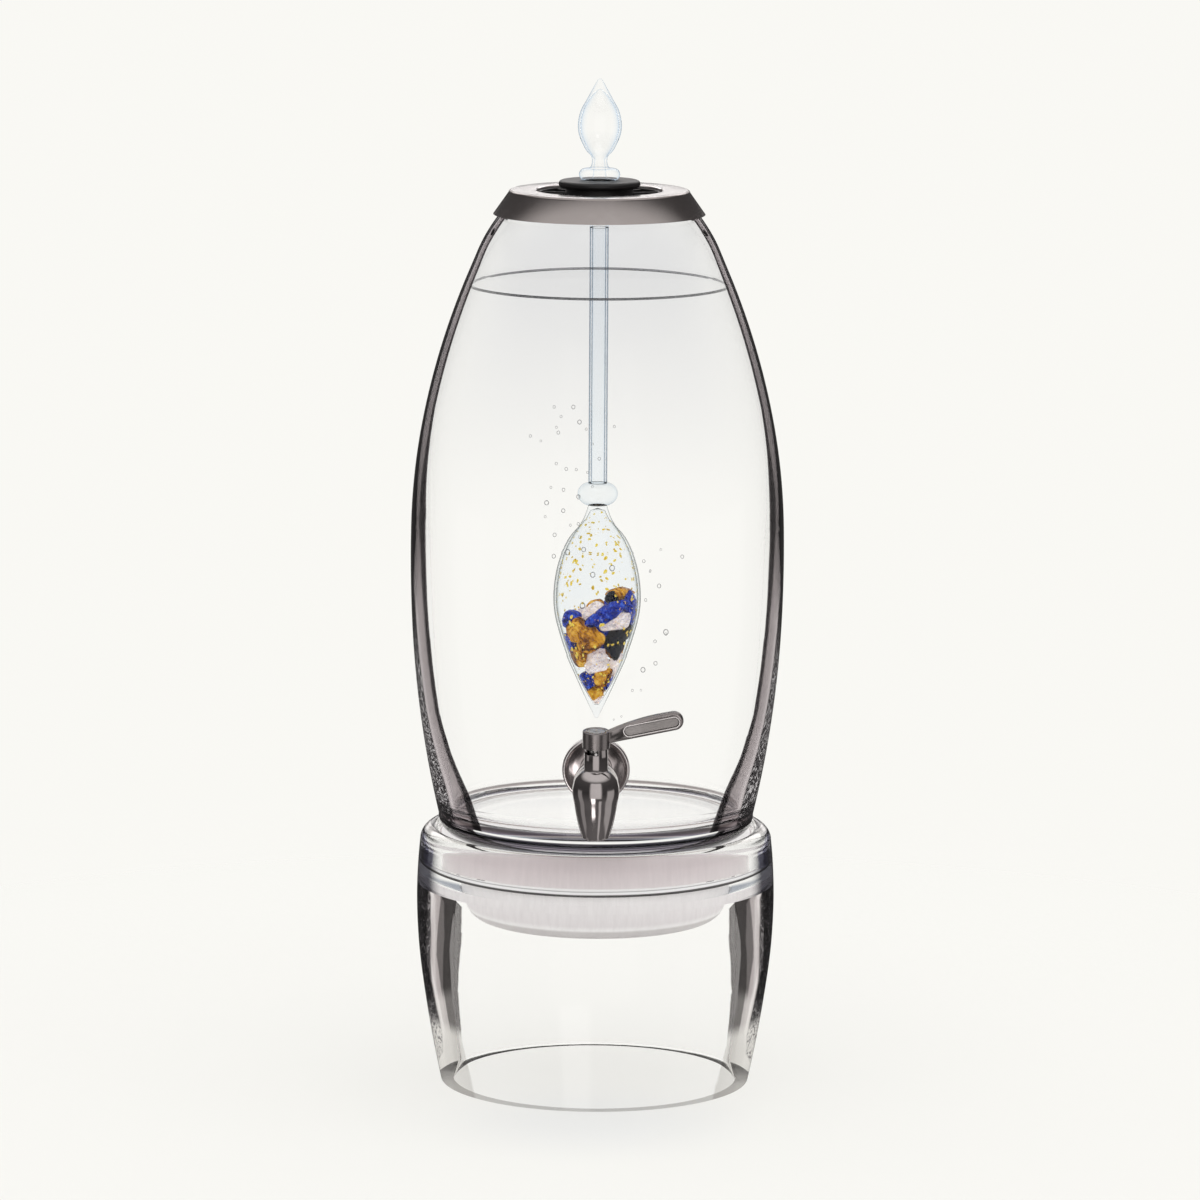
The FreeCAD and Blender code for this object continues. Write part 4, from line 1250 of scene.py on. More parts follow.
# painted shade lines where the water's skin, the meniscus and the bubbles are seen edge on
WATER_SKIN = WaterEdge("water_skin", (0.5, 0.52, 0.54), ((0, 0, 0, 0), (1, 0.04, 0.04, 0.04)))
WATER_FRONT = WaterLine("water_line_outside", (0.025, 0.025, 0.03), (0.96, 0.72))
WATER_BACK = WaterLine("water_line_inside", (0.6, 0.6, 0.61), (0.5, 0.375))
BUBBLE = WaterEdge(
    "bubble_skin",
    (0.02, 0.025, 0.035),
    ((0, 0, 0, 0), (0.25, 0.04, 0.04, 0.04), (0.48, 0.62, 0.62, 0.62), (0.75, 1, 1, 1)),
)
GOLD = GoldLeaf(
    "gold_leaf",
    ((0.3, 0.55, 0.28, 0.01), (0.42, 0.95, 0.62, 0.02), (0.55, 1, 0.78, 0.07), (0.68, 1, 0.92, 0.35)),
)
STONES: dict[StoneKind, Finish] = {
    BLUE: PolishedStone("blue_stone", (
        (0.38, 0.001, 0.003, 0.05), (0.47, 0.003, 0.016, 0.28), (0.55, 0.008, 0.045, 0.52),
        (0.64, 0.06, 0.16, 0.68),
    ), 400.0, 0.10),
    AMBER: PolishedStone("amber_stone", (
        (0.36, 0.03, 0.009, 0.003), (0.44, 0.2, 0.06, 0.006), (0.5, 0.52, 0.2, 0.01),
        (0.58, 0.8, 0.4, 0.03), (0.66, 0.93, 0.6, 0.1),
    ), 110.0, 0.03, 0.06),
    DARK: PolishedStone("dark_stone", (
        (0.3, 0, 0, 0.003), (0.58, 0.001, 0.002, 0.01), (0.75, 0.012, 0.014, 0.035),
    ), 360.0, 0.06),
    CLEAR: ClearStone("clear_stone", (
        (0.34, 0.22, 0.17, 0.24), (0.41, 0.76, 0.68, 0.75), (0.46, 0.97, 0.94, 0.96),
        (0.55, 0.99, 0.97, 0.97), (0.58, 0.9, 0.55, 0.16), (0.62, 0.97, 0.93, 0.88), (0.72, 0.55, 0.48, 0.56),
    )),
}


# sub-assemblies
@dataclass
class RingStand:
    """The clear ring stand: one thick blown shell with an inner ledge."""

    outside: Sequence[Station] = ((93.4, 0.0), (101.5, 42.0), (107.6, 91.0), (108.3, 118.0), (106.4, 148.0))
    inside: Sequence[Station] = ((83.6, 124.0), (85.8, 85.0), (84.9, 48.0), (81.5, 10.0))
    foot_inside: float = 85.0
    rim_round: float = 8.5
    lip_round: float = 3.2
    recess: float = 95.3
    ledge: float = 136.0
    ledge_thick: float = 7.0
    hole: float = 81.0
    ring_from: float = 125.0

    def section(self) -> Profile:
        """Section of the stand.

        Returns:
            The section, in millimetres.
        """
        rim_r, rim_z = self.outside[-1]
        top = rim_z + self.rim_round
        profile = Profile(self.foot_inside, 0.0, 4).line(*self.outside[0]).paint(0)
        profile.curve(self.outside[1:])
        for place, point in enumerate(profile.points[1:]):
            if point.y > self.ring_from:
                profile.finishes[place] = 1
        profile.paint(1).arc(rim_r - self.rim_round, rim_z, self.rim_round, 0, 90).paint(2)
        profile.arc(self.recess + self.lip_round, top - self.lip_round, self.lip_round, 90, 180)
        profile.line(self.recess, self.ledge).line(self.hole, self.ledge).paint(5)
        profile.line(self.hole, self.ledge - self.ledge_thick).paint(2).line(*self.inside[0]).paint(3)
        return profile.curve(self.inside[1:]).line(self.foot_inside, 0.0)

    def build(self) -> None:
        """Make and dress the stand."""
        finishes = [STAND_SKIN, RING_SKIN, INNER_SKIN, STAND_INSIDE, FOOT_EDGE, LEDGE_EDGE]
        turn_piece("stand", self.section(), Body.STAND, finishes, "stand_shell", 192)


@dataclass
class FrostedBowl:
    """The frosted bowl that hangs in the stand and carries the jar."""

    seat: float = 136.1
    collar_height: float = 16.4
    collar_radius: float = 94.5
    collar_round: float = 1.0
    collar_flare: float = 2.8
    basin: float = 80.2
    taper: float = 1.2
    depth: float = 36.0
    corner: float = 12.0
    wall: float = 5.0

    def section(self) -> Profile:
        """Section of the bowl.

        Returns:
            The section, in millimetres.
        """
        top, floor = self.seat + self.collar_height, self.seat - self.depth
        middle, inside = self.basin - self.taper - self.corner, self.basin - self.wall
        edge = self.collar_round
        profile = Profile(0.0, floor).line(middle, floor)
        profile.arc(middle, floor + self.corner, self.corner, -90, 0)
        profile.line(self.basin, self.seat).line(self.collar_radius, self.seat)
        profile.arc(self.collar_radius - edge, top - edge, edge, 0, 90).paint(1)
        profile.line(inside + self.collar_flare, top).line(inside, self.seat)
        profile.arc(middle, floor + self.corner, self.corner - self.wall, 0, -90)
        return profile.line(0.0, floor + self.wall)

    def build(self) -> None:
        """Make and dress the bowl."""
        turn_piece("bowl", self.section(), Body.BOWL, [FROST, FROST_INSIDE], "support_bowl")


@dataclass
class TapPlace:
    """Where the tap sits on the jar's wall."""

    wall_radius: float = 104.354
    height: float = 211.0
    lean: float = 6.5

    def matrix(self) -> Matrix:
        """From the tap's frame in millimetres to the scene in metres."""
        move = Matrix.Translation((0.0, -self.wall_radius * MM, self.height * MM))
        return move @ Matrix.Rotation(math.radians(self.lean), 4, "X") @ Matrix.Scale(MM, 4)


@dataclass
class GlassJar:
    """The egg-shaped jar, with the water's surface and the bubbles in it.

    A station holds a height over the base, the outside radius and the wall. A bubble holds
    its place across and down a chart, and its size. The chart's unit is given in millimetres
    across, down and in size. Bubbles that would stand in the wand come before it.
    """

    base: float = 152.6
    base_flat: float = 85.0
    heel: Station = (95.3, 12.0)
    stations: Sequence[Triple] = (
        (126.5, 111.4, 12.2), (247.5, 106.1, 6.8), (341.0, 77.9, 3.2), (365.0, 66.8, 3.0),
    )
    floor: float = 15.4
    floor_corner: float = 9.0
    floor_radius: float = 87.0
    mouth: float = 53.0
    mouth_wall: float = 3.0
    height: float = 385.0
    hole: float = 8.6
    drill: float = 40.0
    water: float = 485.6
    water_gap: float = 0.05
    water_skin: float = 0.25
    water_under: float = 2.2
    meniscus: float = 1.5
    meniscus_low: float = 0.55
    crest: float = 0.25
    shoulder: float = 0.7
    level_from: float = 2.6
    chart_corner: Station = (-55.1745, 363.889)
    chart_unit: Triple = (0.1, 0.1013267, 0.64)
    bubble_depth: float = 22.0
    bubble_turns: Station = (2.4, 1.7)
    wand_top: float = 352.0
    wand_half: float = 27.0
    wand_front: Station = (-29.0, 3.0)
    bubbles: Sequence[Triple] = (
        (345, 50, 1.6), (437, 117, 2.4), (347, 128, 1.9), (240, 160, 2.2), (235, 208, 1.2), (297, 268, 1.8),
        (437, 210, 1.4), (390, 217, 1.2), (445, 280, 1.3), (375, 372, 2.5), (292, 403, 1.9),
        (470, 360, 2.2), (640, 460, 2.6), (525, 505, 2.4), (465, 688, 2.6), (830, 437, 1.5),
        (940, 437, 1.2), (1067, 450, 1.7), (923, 590, 1.9), (876, 577, 1.1), (965, 853, 2.5),
        (970, 900, 1.2), (907, 960, 1.5), (828, 1065, 2.3), (912, 1097, 1.9), (765, 1178, 1.2),
        (815, 1170, 1.0), (745, 1380, 2.2), (790, 1380, 1.0), (700, 1330, 0.9), (285, -440, 1.4),
        (330, -420, 1.3), (400, -415, 1.9), (440, -380, 2.0), (300, -330, 1.2), (140, -250, 1.4),
        (210, -280, 1.1), (310, -270, 1.6), (480, -320, 1.2), (520, -250, 1.0), (650, -300, 1.3),
        (560, -170, 1.5), (300, -100, 1.4), (360, -60, 1.6), (490, -90, 1.1), (420, -40, 1.3),
        (270, 20, 1.2), (520, 20, 1.1), (655, 1345, 0.8), (600, 1420, 0.9), (620, 1450, 1.1),
        (560, 1440, 0.8), (870, 500, 1.0), (850, 740, 1.4),
    )

    def section(self) -> Profile:
        """Section of the jar before its tap hole.

        Returns:
            The section, in millimetres.
        """
        base, rim = self.base, self.mouth_wall / 2.0
        top, low = base + self.height, base + self.floor + self.floor_corner
        heel_r, heel_h = self.heel
        half = math.sin(math.pi / 4.0)
        through = (self.base_flat + (heel_r - self.base_flat) * half, base + heel_h * (1.0 - half))
        profile = Profile(0.0, base, 1).line(self.base_flat, base).paint(0)
        profile.bow(through, heel_r, base + heel_h)
        outside = [(radius, base + height) for height, radius, _ in self.stations]
        profile.curve(outside + [(self.mouth, top - rim)])
        profile.arc(self.mouth - rim, top - rim, rim, 0, 180).paint(1)
        profile.curve(self.inside_stations() + [(self.floor_radius, low)])
        profile.arc(self.floor_radius - self.floor_corner, low, self.floor_corner, 0, -90)
        return profile.line(0.0, base + self.floor)

    def inside_stations(self) -> list[Station]:
        """Stations of the inner wall, from the highest."""
        return [(radius - wall, self.base + height) for height, radius, wall in reversed(self.stations)]

    def inside_at(self, height: float) -> float:
        """Inside radius of the jar at a height."""
        inside = Profile(self.mouth - self.mouth_wall, self.base + self.height - self.mouth_wall / 2.0)
        return inside.curve(self.inside_stations()).radius_at(height)

    def build_jar(self, place: TapPlace) -> None:
        """Make the jar and drill its tap hole.

        Args:
            place: where the tap sits.
        """
        jar = placed("jar_raw", turned("jar_raw", self.section(), 192))
        section = Profile(0.0, -self.drill).line(self.hole, -self.drill).line(self.hole, self.drill)
        drill = placed("drill", turned("drill", section.line(0.0, self.drill), 64))
        upright = Matrix.Rotation(math.radians(90.0), 4, "X")
        drill.data.transform(place.matrix() @ upright @ Matrix.Scale(1.0 / MM, 4))
        cut = jar.modifiers.new("hole", "BOOLEAN")
        cut.operation, cut.solver, cut.object = "DIFFERENCE", "EXACT", drill
        jar = baked(jar, "jar_body")
        bpy.data.objects.remove(drill)
        smooth(jar.data)
        finish_piece(jar, Body.JAR, [JAR_SKIN, INNER_SKIN], "jar")

    def build_water(self) -> None:
        """Make the water's surface with the meniscus that climbs the wall."""
        water, skin, rise = self.water, self.water_skin, self.meniscus
        wall = self.inside_at(water) - self.water_gap
        profile = Profile(0.0, water - skin).line(wall - self.water_under, water - skin)
        profile.line(wall, water - rise * self.meniscus_low).paint(1)
        profile.line(wall - self.crest, water + rise * (1.0 - self.meniscus_low)).paint(2)
        profile.curve([(wall - self.shoulder, water + skin), (wall - self.level_from, water)])
        profile.paint(0).line(0.0, water)
        turn_piece("water_surface", profile, Body.JAR, [WATER_SKIN, WATER_FRONT, WATER_BACK])

    def build_bubbles(self) -> None:
        """Scatter the bubbles at their places, each with its own size."""
        places, sizes = [], []
        for index, (across, down, radius) in enumerate(self.bubbles):
            x = self.chart_corner[0] + across * self.chart_unit[0]
            z = self.chart_corner[1] - down * self.chart_unit[1]
            depth = self.bubble_depth * math.sin(index * self.bubble_turns[0])
            if abs(x) < self.wand_half and z < self.wand_top:
                depth = self.wand_front[0] - self.wand_front[1] * math.sin(index * self.bubble_turns[1])
            places.append((x * MM, depth * MM, z * MM))
            sizes.append(radius * self.chart_unit[2] * MM)
        mesh = bpy.data.meshes.new("bubble_places")
        mesh.from_pydata(places, [], [])
        mesh.attributes.new("size", "FLOAT", "POINT").data.foreach_set("value", sizes)
        pattern = Pattern("bubbles")
        add = pattern.graph.add
        inputs = {"Radius": pattern.number("Unit size", 1.0), "Subdivisions": 3}
        ball = add("GeometryNodeMeshIcoSphere", None, inputs)
        size = add("GeometryNodeInputNamedAttribute", {"data_type": "FLOAT"}, {"Name": "size"})
        height = size * pattern.number("Height", 1.12)
        squeeze = add("ShaderNodeCombineXYZ", None, {0: size, 1: size, 2: height})
        dots = add("GeometryNodeMeshToPoints", None, {"Mesh": pattern.source})
        inputs = {"Points": dots, "Instance": ball, "Scale": squeeze}
        spread = add("GeometryNodeInstanceOnPoints", None, inputs)
        piece = pattern.run(spread, BUBBLE, placed("bubble_places", mesh), "bubbles")
        smooth(piece.data, 180.0)
        finish_piece(piece, Body.JAR, [BUBBLE])


@dataclass
class Lid:
    """The satin lid with its liner and seal."""

    skirt: float = 63.5
    foot: float = 528.2
    top: float = 542.7
    top_radius: float = 54.4
    sheet: float = 1.2
    edge_round: float = 1.6
    opening: float = 37.6
    lip_drop: float = 3.4

    def section(self) -> Profile:
        """Section of the pressed shell.

        Returns:
            The section, in millimetres.
        """
        top, sheet, edge, bend = self.top, self.sheet, self.edge_round, self.opening + self.sheet
        profile = Profile(self.skirt - sheet, self.foot).line(self.skirt, self.foot)
        profile.line(self.top_radius, top - edge)
        profile.bow((self.top_radius - edge / 3.0, top - edge / 3.0), self.top_radius - edge, top).paint(1)
        profile.line(bend, top).paint(2).arc(bend, top - sheet, sheet, 90, 180)
        profile.line(self.opening, top - self.lip_drop).line(bend, top - self.lip_drop)
        return profile.line(bend, top - sheet).line(self.top_radius - edge, top - sheet)

    def build(self) -> None:
        """Make and dress the lid."""
        turn_piece("lid", self.section(), Body.LID, [LID_SATIN, LID_PLATE, LID_LIP], "lid_shell")
        repaint(LINER, "lid_liner")
        repaint(CLEAR_SILICONE, "lid_seal")


@dataclass
class Wand:
    """Seat, stopper and glass wand with its drop."""

    web_top: float = 536.5
    seat_gap: float = 0.1
    seat_radius: float = 37.2
    seat_plate: float = 1.5
    seat_rim: float = 4.6
    seat_rim_wall: float = 1.6
    seat_round: float = 0.5
    boss: float = 21.5
    stopper_low: float = 543.1
    stopper_reach: Station = (6.6, 16.0)
    stopper_taper: float = 1.2
    stopper_neck: float = 19.5
    ribs: int = 12
    rib_thick: float = 1.4
    rib_height: float = 2.6
    flange: float = 24.5
    flange_thick: float = 4.4
    undercut: float = 1.0
    barrel: float = 13.0
    tube: float = 5.7
    tube_wall: float = 1.4
    base: float = 548.5
    flame: Sequence[Station] = ((4.5, 12.4), (8.8, 18.9), (13.0, 30.5), (11.6, 41.0), (7.4, 49.0))
    flame_height: float = 60.6
    tip_round: float = 1.8
    tip_from: float = 30.0
    hollow_top: float = 54.4
    hollow_round: float = 2.4
    flame_wall: float = 1.5
    foot: Station = (12.3, 7.0)
    tail_end: float = 519.2
    stem_end: float = 363.2
    bead_end: float = 349.6
    bead: float = 12.2
    bead_low: Station = (10.5, 2.6)
    bead_neck: float = 5.6
    drop: Sequence[Station] = ((10.9, 105.5), (19.2, 86.5), (26.5, 54.5), (18.6, 22.8), (8.5, 8.4))
    drop_length: float = 126.0
    drop_tip: float = 1.6
    drop_wall: float = 1.6
    drop_solid: float = 8.0
    drop_shoulder: float = 3.4
    drop_neck: float = 4.4
    flakes: float = 21000.0
    flake_gap: float = 0.08

    def build_seat(self) -> None:
        """Make the dished ring and its ribs."""
        floor, edge = self.web_top + self.seat_gap, self.seat_round
        plate, rim = floor + self.seat_plate, self.seat_radius - self.seat_rim_wall
        boss = self.boss - self.seat_plate
        profile = Profile(self.barrel, floor).line(self.seat_radius, floor)
        profile.arc(self.seat_radius - edge, floor + self.seat_rim - edge, edge, 0, 90)
        profile.arc(rim + edge, floor + self.seat_rim - edge, edge, 90, 180)
        profile.line(rim, plate).line(self.boss, plate)
        profile.line(boss, self.stopper_low).line(self.barrel, self.stopper_low)
        turn_piece("wand_seat_ring", profile, Body.WAND, [DARK_SILICONE], "wand_seat", 128)
        pattern = Pattern("seat_ribs")
        add = pattern.graph.add
        size = add("ShaderNodeCombineXYZ", None, {
            0: pattern.number("Length", (rim - boss) * MM),
            1: pattern.number("Thickness", self.rib_thick * MM),
            2: pattern.number("Height", self.rib_height * MM),
        })
        block = add("GeometryNodeMeshCube", None, {"Size": size})
        out = (rim + boss) / 2.0 * MM
        rib = add("GeometryNodeTransform", None, {"Geometry": block, "Translation": (out, 0.0, 0.0)})
        count = pattern.number("Ribs", self.ribs)
        line = add("GeometryNodeMeshLine", None, {"Count": count, "Offset": (0.0, 0.0, 0.0)})
        index = add("GeometryNodeInputIndex")
        turn = add("ShaderNodeCombineXYZ", None, {2: (index + 0.5) * (2.0 * math.pi) / count})
        inputs = {"Points": line, "Instance": rib, "Rotation": turn}
        spread = add("GeometryNodeInstanceOnPoints", None, inputs)
        up = (plate + self.rib_height / 2.0) * MM
        lifted = add("GeometryNodeTransform", None, {"Geometry": spread, "Translation": (0.0, 0.0, up)})
        seed = placed("rib_seed", bpy.data.meshes.new("rib_seed"))
        ribs = pattern.run(lifted, DARK_SILICONE, seed, "wand_seat_ribs")
        finish_piece(ribs, Body.WAND, [DARK_SILICONE])

    def build_stopper(self) -> None:
        """Make the soft plug that holds the wand."""
        low, half = self.stopper_low, self.flange_thick / 2.0
        flange, (straight, end) = low + self.undercut, self.stopper_reach
        profile = Profile(self.tube, low - end).line(self.barrel - self.stopper_taper, low - end)
        profile.line(self.barrel, low - straight).line(self.barrel, low)
        profile.line(self.stopper_neck, low).line(self.stopper_neck, flange)
        profile.arc(self.flange - half, flange + half, half, -90, 90)
        profile.line(self.tube, flange + self.flange_thick)
        turn_piece("wand_stopper", profile, Body.WAND, [DARK_SILICONE], "stopper", 128)

    def finial(self) -> Profile:
        """Section of the hollow flame with its foot and tail, out along its skin and back inside.

        Returns:
            The section, in millimetres.
        """
        base, inside = self.base, self.tube - self.tube_wall
        tip = base + self.flame_height - self.tip_round
        foot_r, foot_h = self.foot
        half, start = foot_h / 2.0, math.radians(self.tip_from)
        flame = [(radius, base + height) for radius, height in self.flame]
        profile = Profile(inside, self.tail_end).line(self.tube, self.tail_end).line(self.tube, base)
        profile.line(foot_r - half, base).arc(foot_r - half, base + half, half, -90, 90)
        profile.line(self.flame[0][0] + self.flame_wall, base + foot_h)
        profile.curve(flame + [(self.tip_round * math.cos(start), tip + self.tip_round * math.sin(start))])
        profile.arc(0.0, tip, self.tip_round, self.tip_from, 90.0)
        profile.points[-1].x = 0.0
        hollow = Profile(0.0, base + self.hollow_top)
        hollow.arc(0.0, base + self.hollow_top - self.hollow_round, self.hollow_round, 90.0, self.tip_from)
        hollow.curve([(radius - self.flame_wall, height) for radius, height in reversed(flame)])
        for point in hollow.points:
            profile.line(point.x, point.y)
        return profile.line(inside, base).line(inside, self.tail_end)

    def hollow(self) -> Profile:
        """Section of the drop's hollow.

        Returns:
            The section, in millimetres.
        """
        floor = self.bead_end - self.drop_length + self.drop_solid
        profile = Profile(0.0, floor).line(self.drop_wall, floor)
        profile.curve([(radius - self.drop_wall, self.bead_end - down) for radius, down in self.drop])
        profile.line(self.drop_neck, self.bead_end - self.drop_shoulder)
        return profile.line(0.0, self.bead_end - self.drop_shoulder + self.drop_wall)

    def build_glass(self) -> None:
        """Make the finial, the stem, the bead and the drop."""
        inside, end, (low_r, low_h) = self.tube - self.tube_wall, self.bead_end, self.bead_low
        middle = (self.stem_end + end) / 2.0
        stem = Profile(inside, self.stem_end).line(self.tube, self.stem_end).line(self.tube, self.tail_end)
        bead = Profile(0.0, end).line(self.bead_neck, end)
        bead.curve([(low_r, end + low_h), (self.bead, middle), (self.tube, self.stem_end)])
        tip = end - self.drop_length
        drop = Profile(0.0, tip).arc(0.0, tip + self.drop_tip, self.drop_tip, -90, 0)
        drop.curve([(radius, end - down) for radius, down in self.drop] + [(self.bead_neck, end)])
        for name, section, finish, around, cavity in (
            ("finial", self.finial(), FINIAL_GLASS, 96, None),
            ("stem", stem.line(inside, self.tail_end), STEM_GLASS, 64, None),
            ("bead", bead.line(0.0, self.stem_end), BEAD_GLASS, 96, None),
            ("drop", drop.line(0.0, end), DROP_GLASS, 128, self.hollow()),
        ):
            turn_piece(name, section, Body.WAND, [finish], f"wand_{name}", around, cavity)

    def build_flakes(self) -> None:
        """Scatter gold leaf over the inside of the drop."""
        hollow = self.hollow()
        pattern = Pattern("gold_flakes")
        graph, number = pattern.graph, pattern.number
        density, draw = number("Density", self.flakes), number("Seed", 7)
        inputs = {"Mesh": pattern.source, "Density": density, "Seed": draw}
        points = graph.add("GeometryNodeDistributePointsOnFaces", {"distribute_method": "RANDOM"}, inputs)
        normal = points.out("Normal")
        inward = graph.vector("SCALE", normal, number("Inset", -0.0003))
        inset = graph.add("GeometryNodeSetPosition", None, {"Geometry": points, "Offset": inward})
        leaf = graph.add("GeometryNodeMeshIcoSphere", None, {"Radius": 1.0, "Subdivisions": 2})
        flat = graph.add("GeometryNodeTransform", None, {"Geometry": leaf, "Scale": (1.0, 0.62, 0.12)})
        least, most = number("Smallest", 0.0003), number("Largest", 0.0015)
        spin, size = (
            graph.add("FunctionNodeRandomValue", {"data_type": "FLOAT"}, {2: low, 3: high, "Seed": seed}, 1)
            for low, high, seed in ((0.0, 6.28, 3), (least, most, 11))
        )
        aligned = graph.add("FunctionNodeAlignRotationToVector", {"axis": "Z"}, {"Vector": normal})
        about = graph.add("ShaderNodeCombineXYZ", None, {2: spin})
        turn = graph.add("FunctionNodeRotateRotation", {"rotation_space": "LOCAL"}, {0: aligned, 1: about})
        inputs = {"Points": inset, "Instance": flat, "Rotation": turn, "Scale": size}
        leaves = graph.add("GeometryNodeInstanceOnPoints", None, inputs)
        real = graph.add("GeometryNodeRealizeInstances", None, {0: leaves})
        inputs = {"Vector": graph.add("GeometryNodeInputPosition"), "Scale": 900.0, "Detail": 1.0}
        tear = graph.add("ShaderNodeTexNoise", None, inputs, "Color")
        centred = graph.vector("SUBTRACT", tear, (0.5, 0.5, 0.5))
        shift = graph.vector("SCALE", centred, number("Crumple", 0.0009))
        torn = graph.add("GeometryNodeSetPosition", None, {"Geometry": real, "Offset": shift})
        ground = placed("flake_ground", turned("flake_ground", hollow, 64))
        piece = pattern.run(torn, GOLD, ground, "gold_flakes")
        keep_inside(piece.data, hollow, self.flake_gap)
        finish_piece(piece, Body.WAND, [GOLD])


def keep_inside(mesh: bpy.types.Mesh, hollow: Profile, gap: float) -> None:
    """Push vertices in until they clear the wall of a hollow.

    Args:
        mesh: the mesh, in metres.
        hollow: the hollow's section.
        gap: least distance to the wall.
    """
    heights = [point.y for point in hollow.points]
    low, high = min(heights) + gap, max(heights) - gap
    for vertex in mesh.vertices:
        vertex.co.z = min(max(vertex.co.z, low * MM), high * MM)
        room = (hollow.radius_at(vertex.co.z / MM) - gap) * MM
        reach = math.hypot(vertex.co.x, vertex.co.y)
        if reach > room > 0.0:
            vertex.co.x *= room / reach
            vertex.co.y *= room / reach
    mesh.update()


@dataclass
class Pebble:
    """A tumbled stone: its kind, place, half sizes and tilt in degrees, then how stones wear.

    Args:
        swell: growth that makes up for the wear.
        lumps: scale and height of each layer of lumps.
        cuts: number of flat cuts.
        cut_depth: least distance of a cut from the middle, and the step between them.
        wear: share of what stands out past a cut that is worn away.
        skin: scale and height of the fine dents.
        roll: turn about X from one stone to the next, and where it starts again.
    """

    kind: StoneKind
    x: float
    y: float
    z: float
    half_x: float
    half_y: float
    half_z: float
    tilt: float = 0.0
    swell: float = 1.12
    lumps: Sequence[Station] = ((1.1, 0.20), (3.1, 0.06))
    cuts: int = 7
    cut_depth: Station = (0.74, 0.05)
    wear: float = 0.86
    skin: Station = (7.0, 0.018)
    roll: Station = (8.0, 40.0)

    def shape(self, seed: int, ball: Sequence[Vector]) -> list[Vector]:
        """The stone's corners: a ball worn by cuts and hollows, turned and put in its place.

        Args:
            seed: number of the stone.
            ball: corners of a unit ball.

        Returns:
            The corners in millimetres.
        """
        shift = Vector((seed * 7.31, seed * 3.77, seed * 5.19))
        cuts = []
        for index in range(self.cuts):
            way = Vector((
                math.sin(seed * 2.1 + index * 1.9),
                math.cos(seed * 1.3 + index * 2.7),
                math.sin(seed * 0.7 + index * 3.3 + 1.0),
            )).normalized()
            cuts.append((way, self.cut_depth[0] + self.cut_depth[1] * ((seed + index) % 4)))
        half = [size * self.swell for size in (self.half_x, self.half_y, self.half_z)]
        turn = Matrix.Rotation(math.radians(-self.tilt), 3, "Y")
        turn = turn @ Matrix.Rotation(math.radians(self.roll[0] * seed % self.roll[1]), 3, "X")
        corners = []
        for corner in ball:
            lumps = sum(height * noise.noise(corner * scale + shift) for scale, height in self.lumps)
            point = corner * (1.0 + lumps)
            for way, depth in cuts:
                over = point.dot(way) - depth
                if over > 0.0:
                    point = point - way * over * self.wear
            point = point * (1.0 + self.skin[1] * noise.noise(corner * self.skin[0] + shift))
            worn = Vector([part * size for part, size in zip(point, half)])
            corners.append(turn @ worn + Vector((self.x, self.y, self.z)))
        return corners


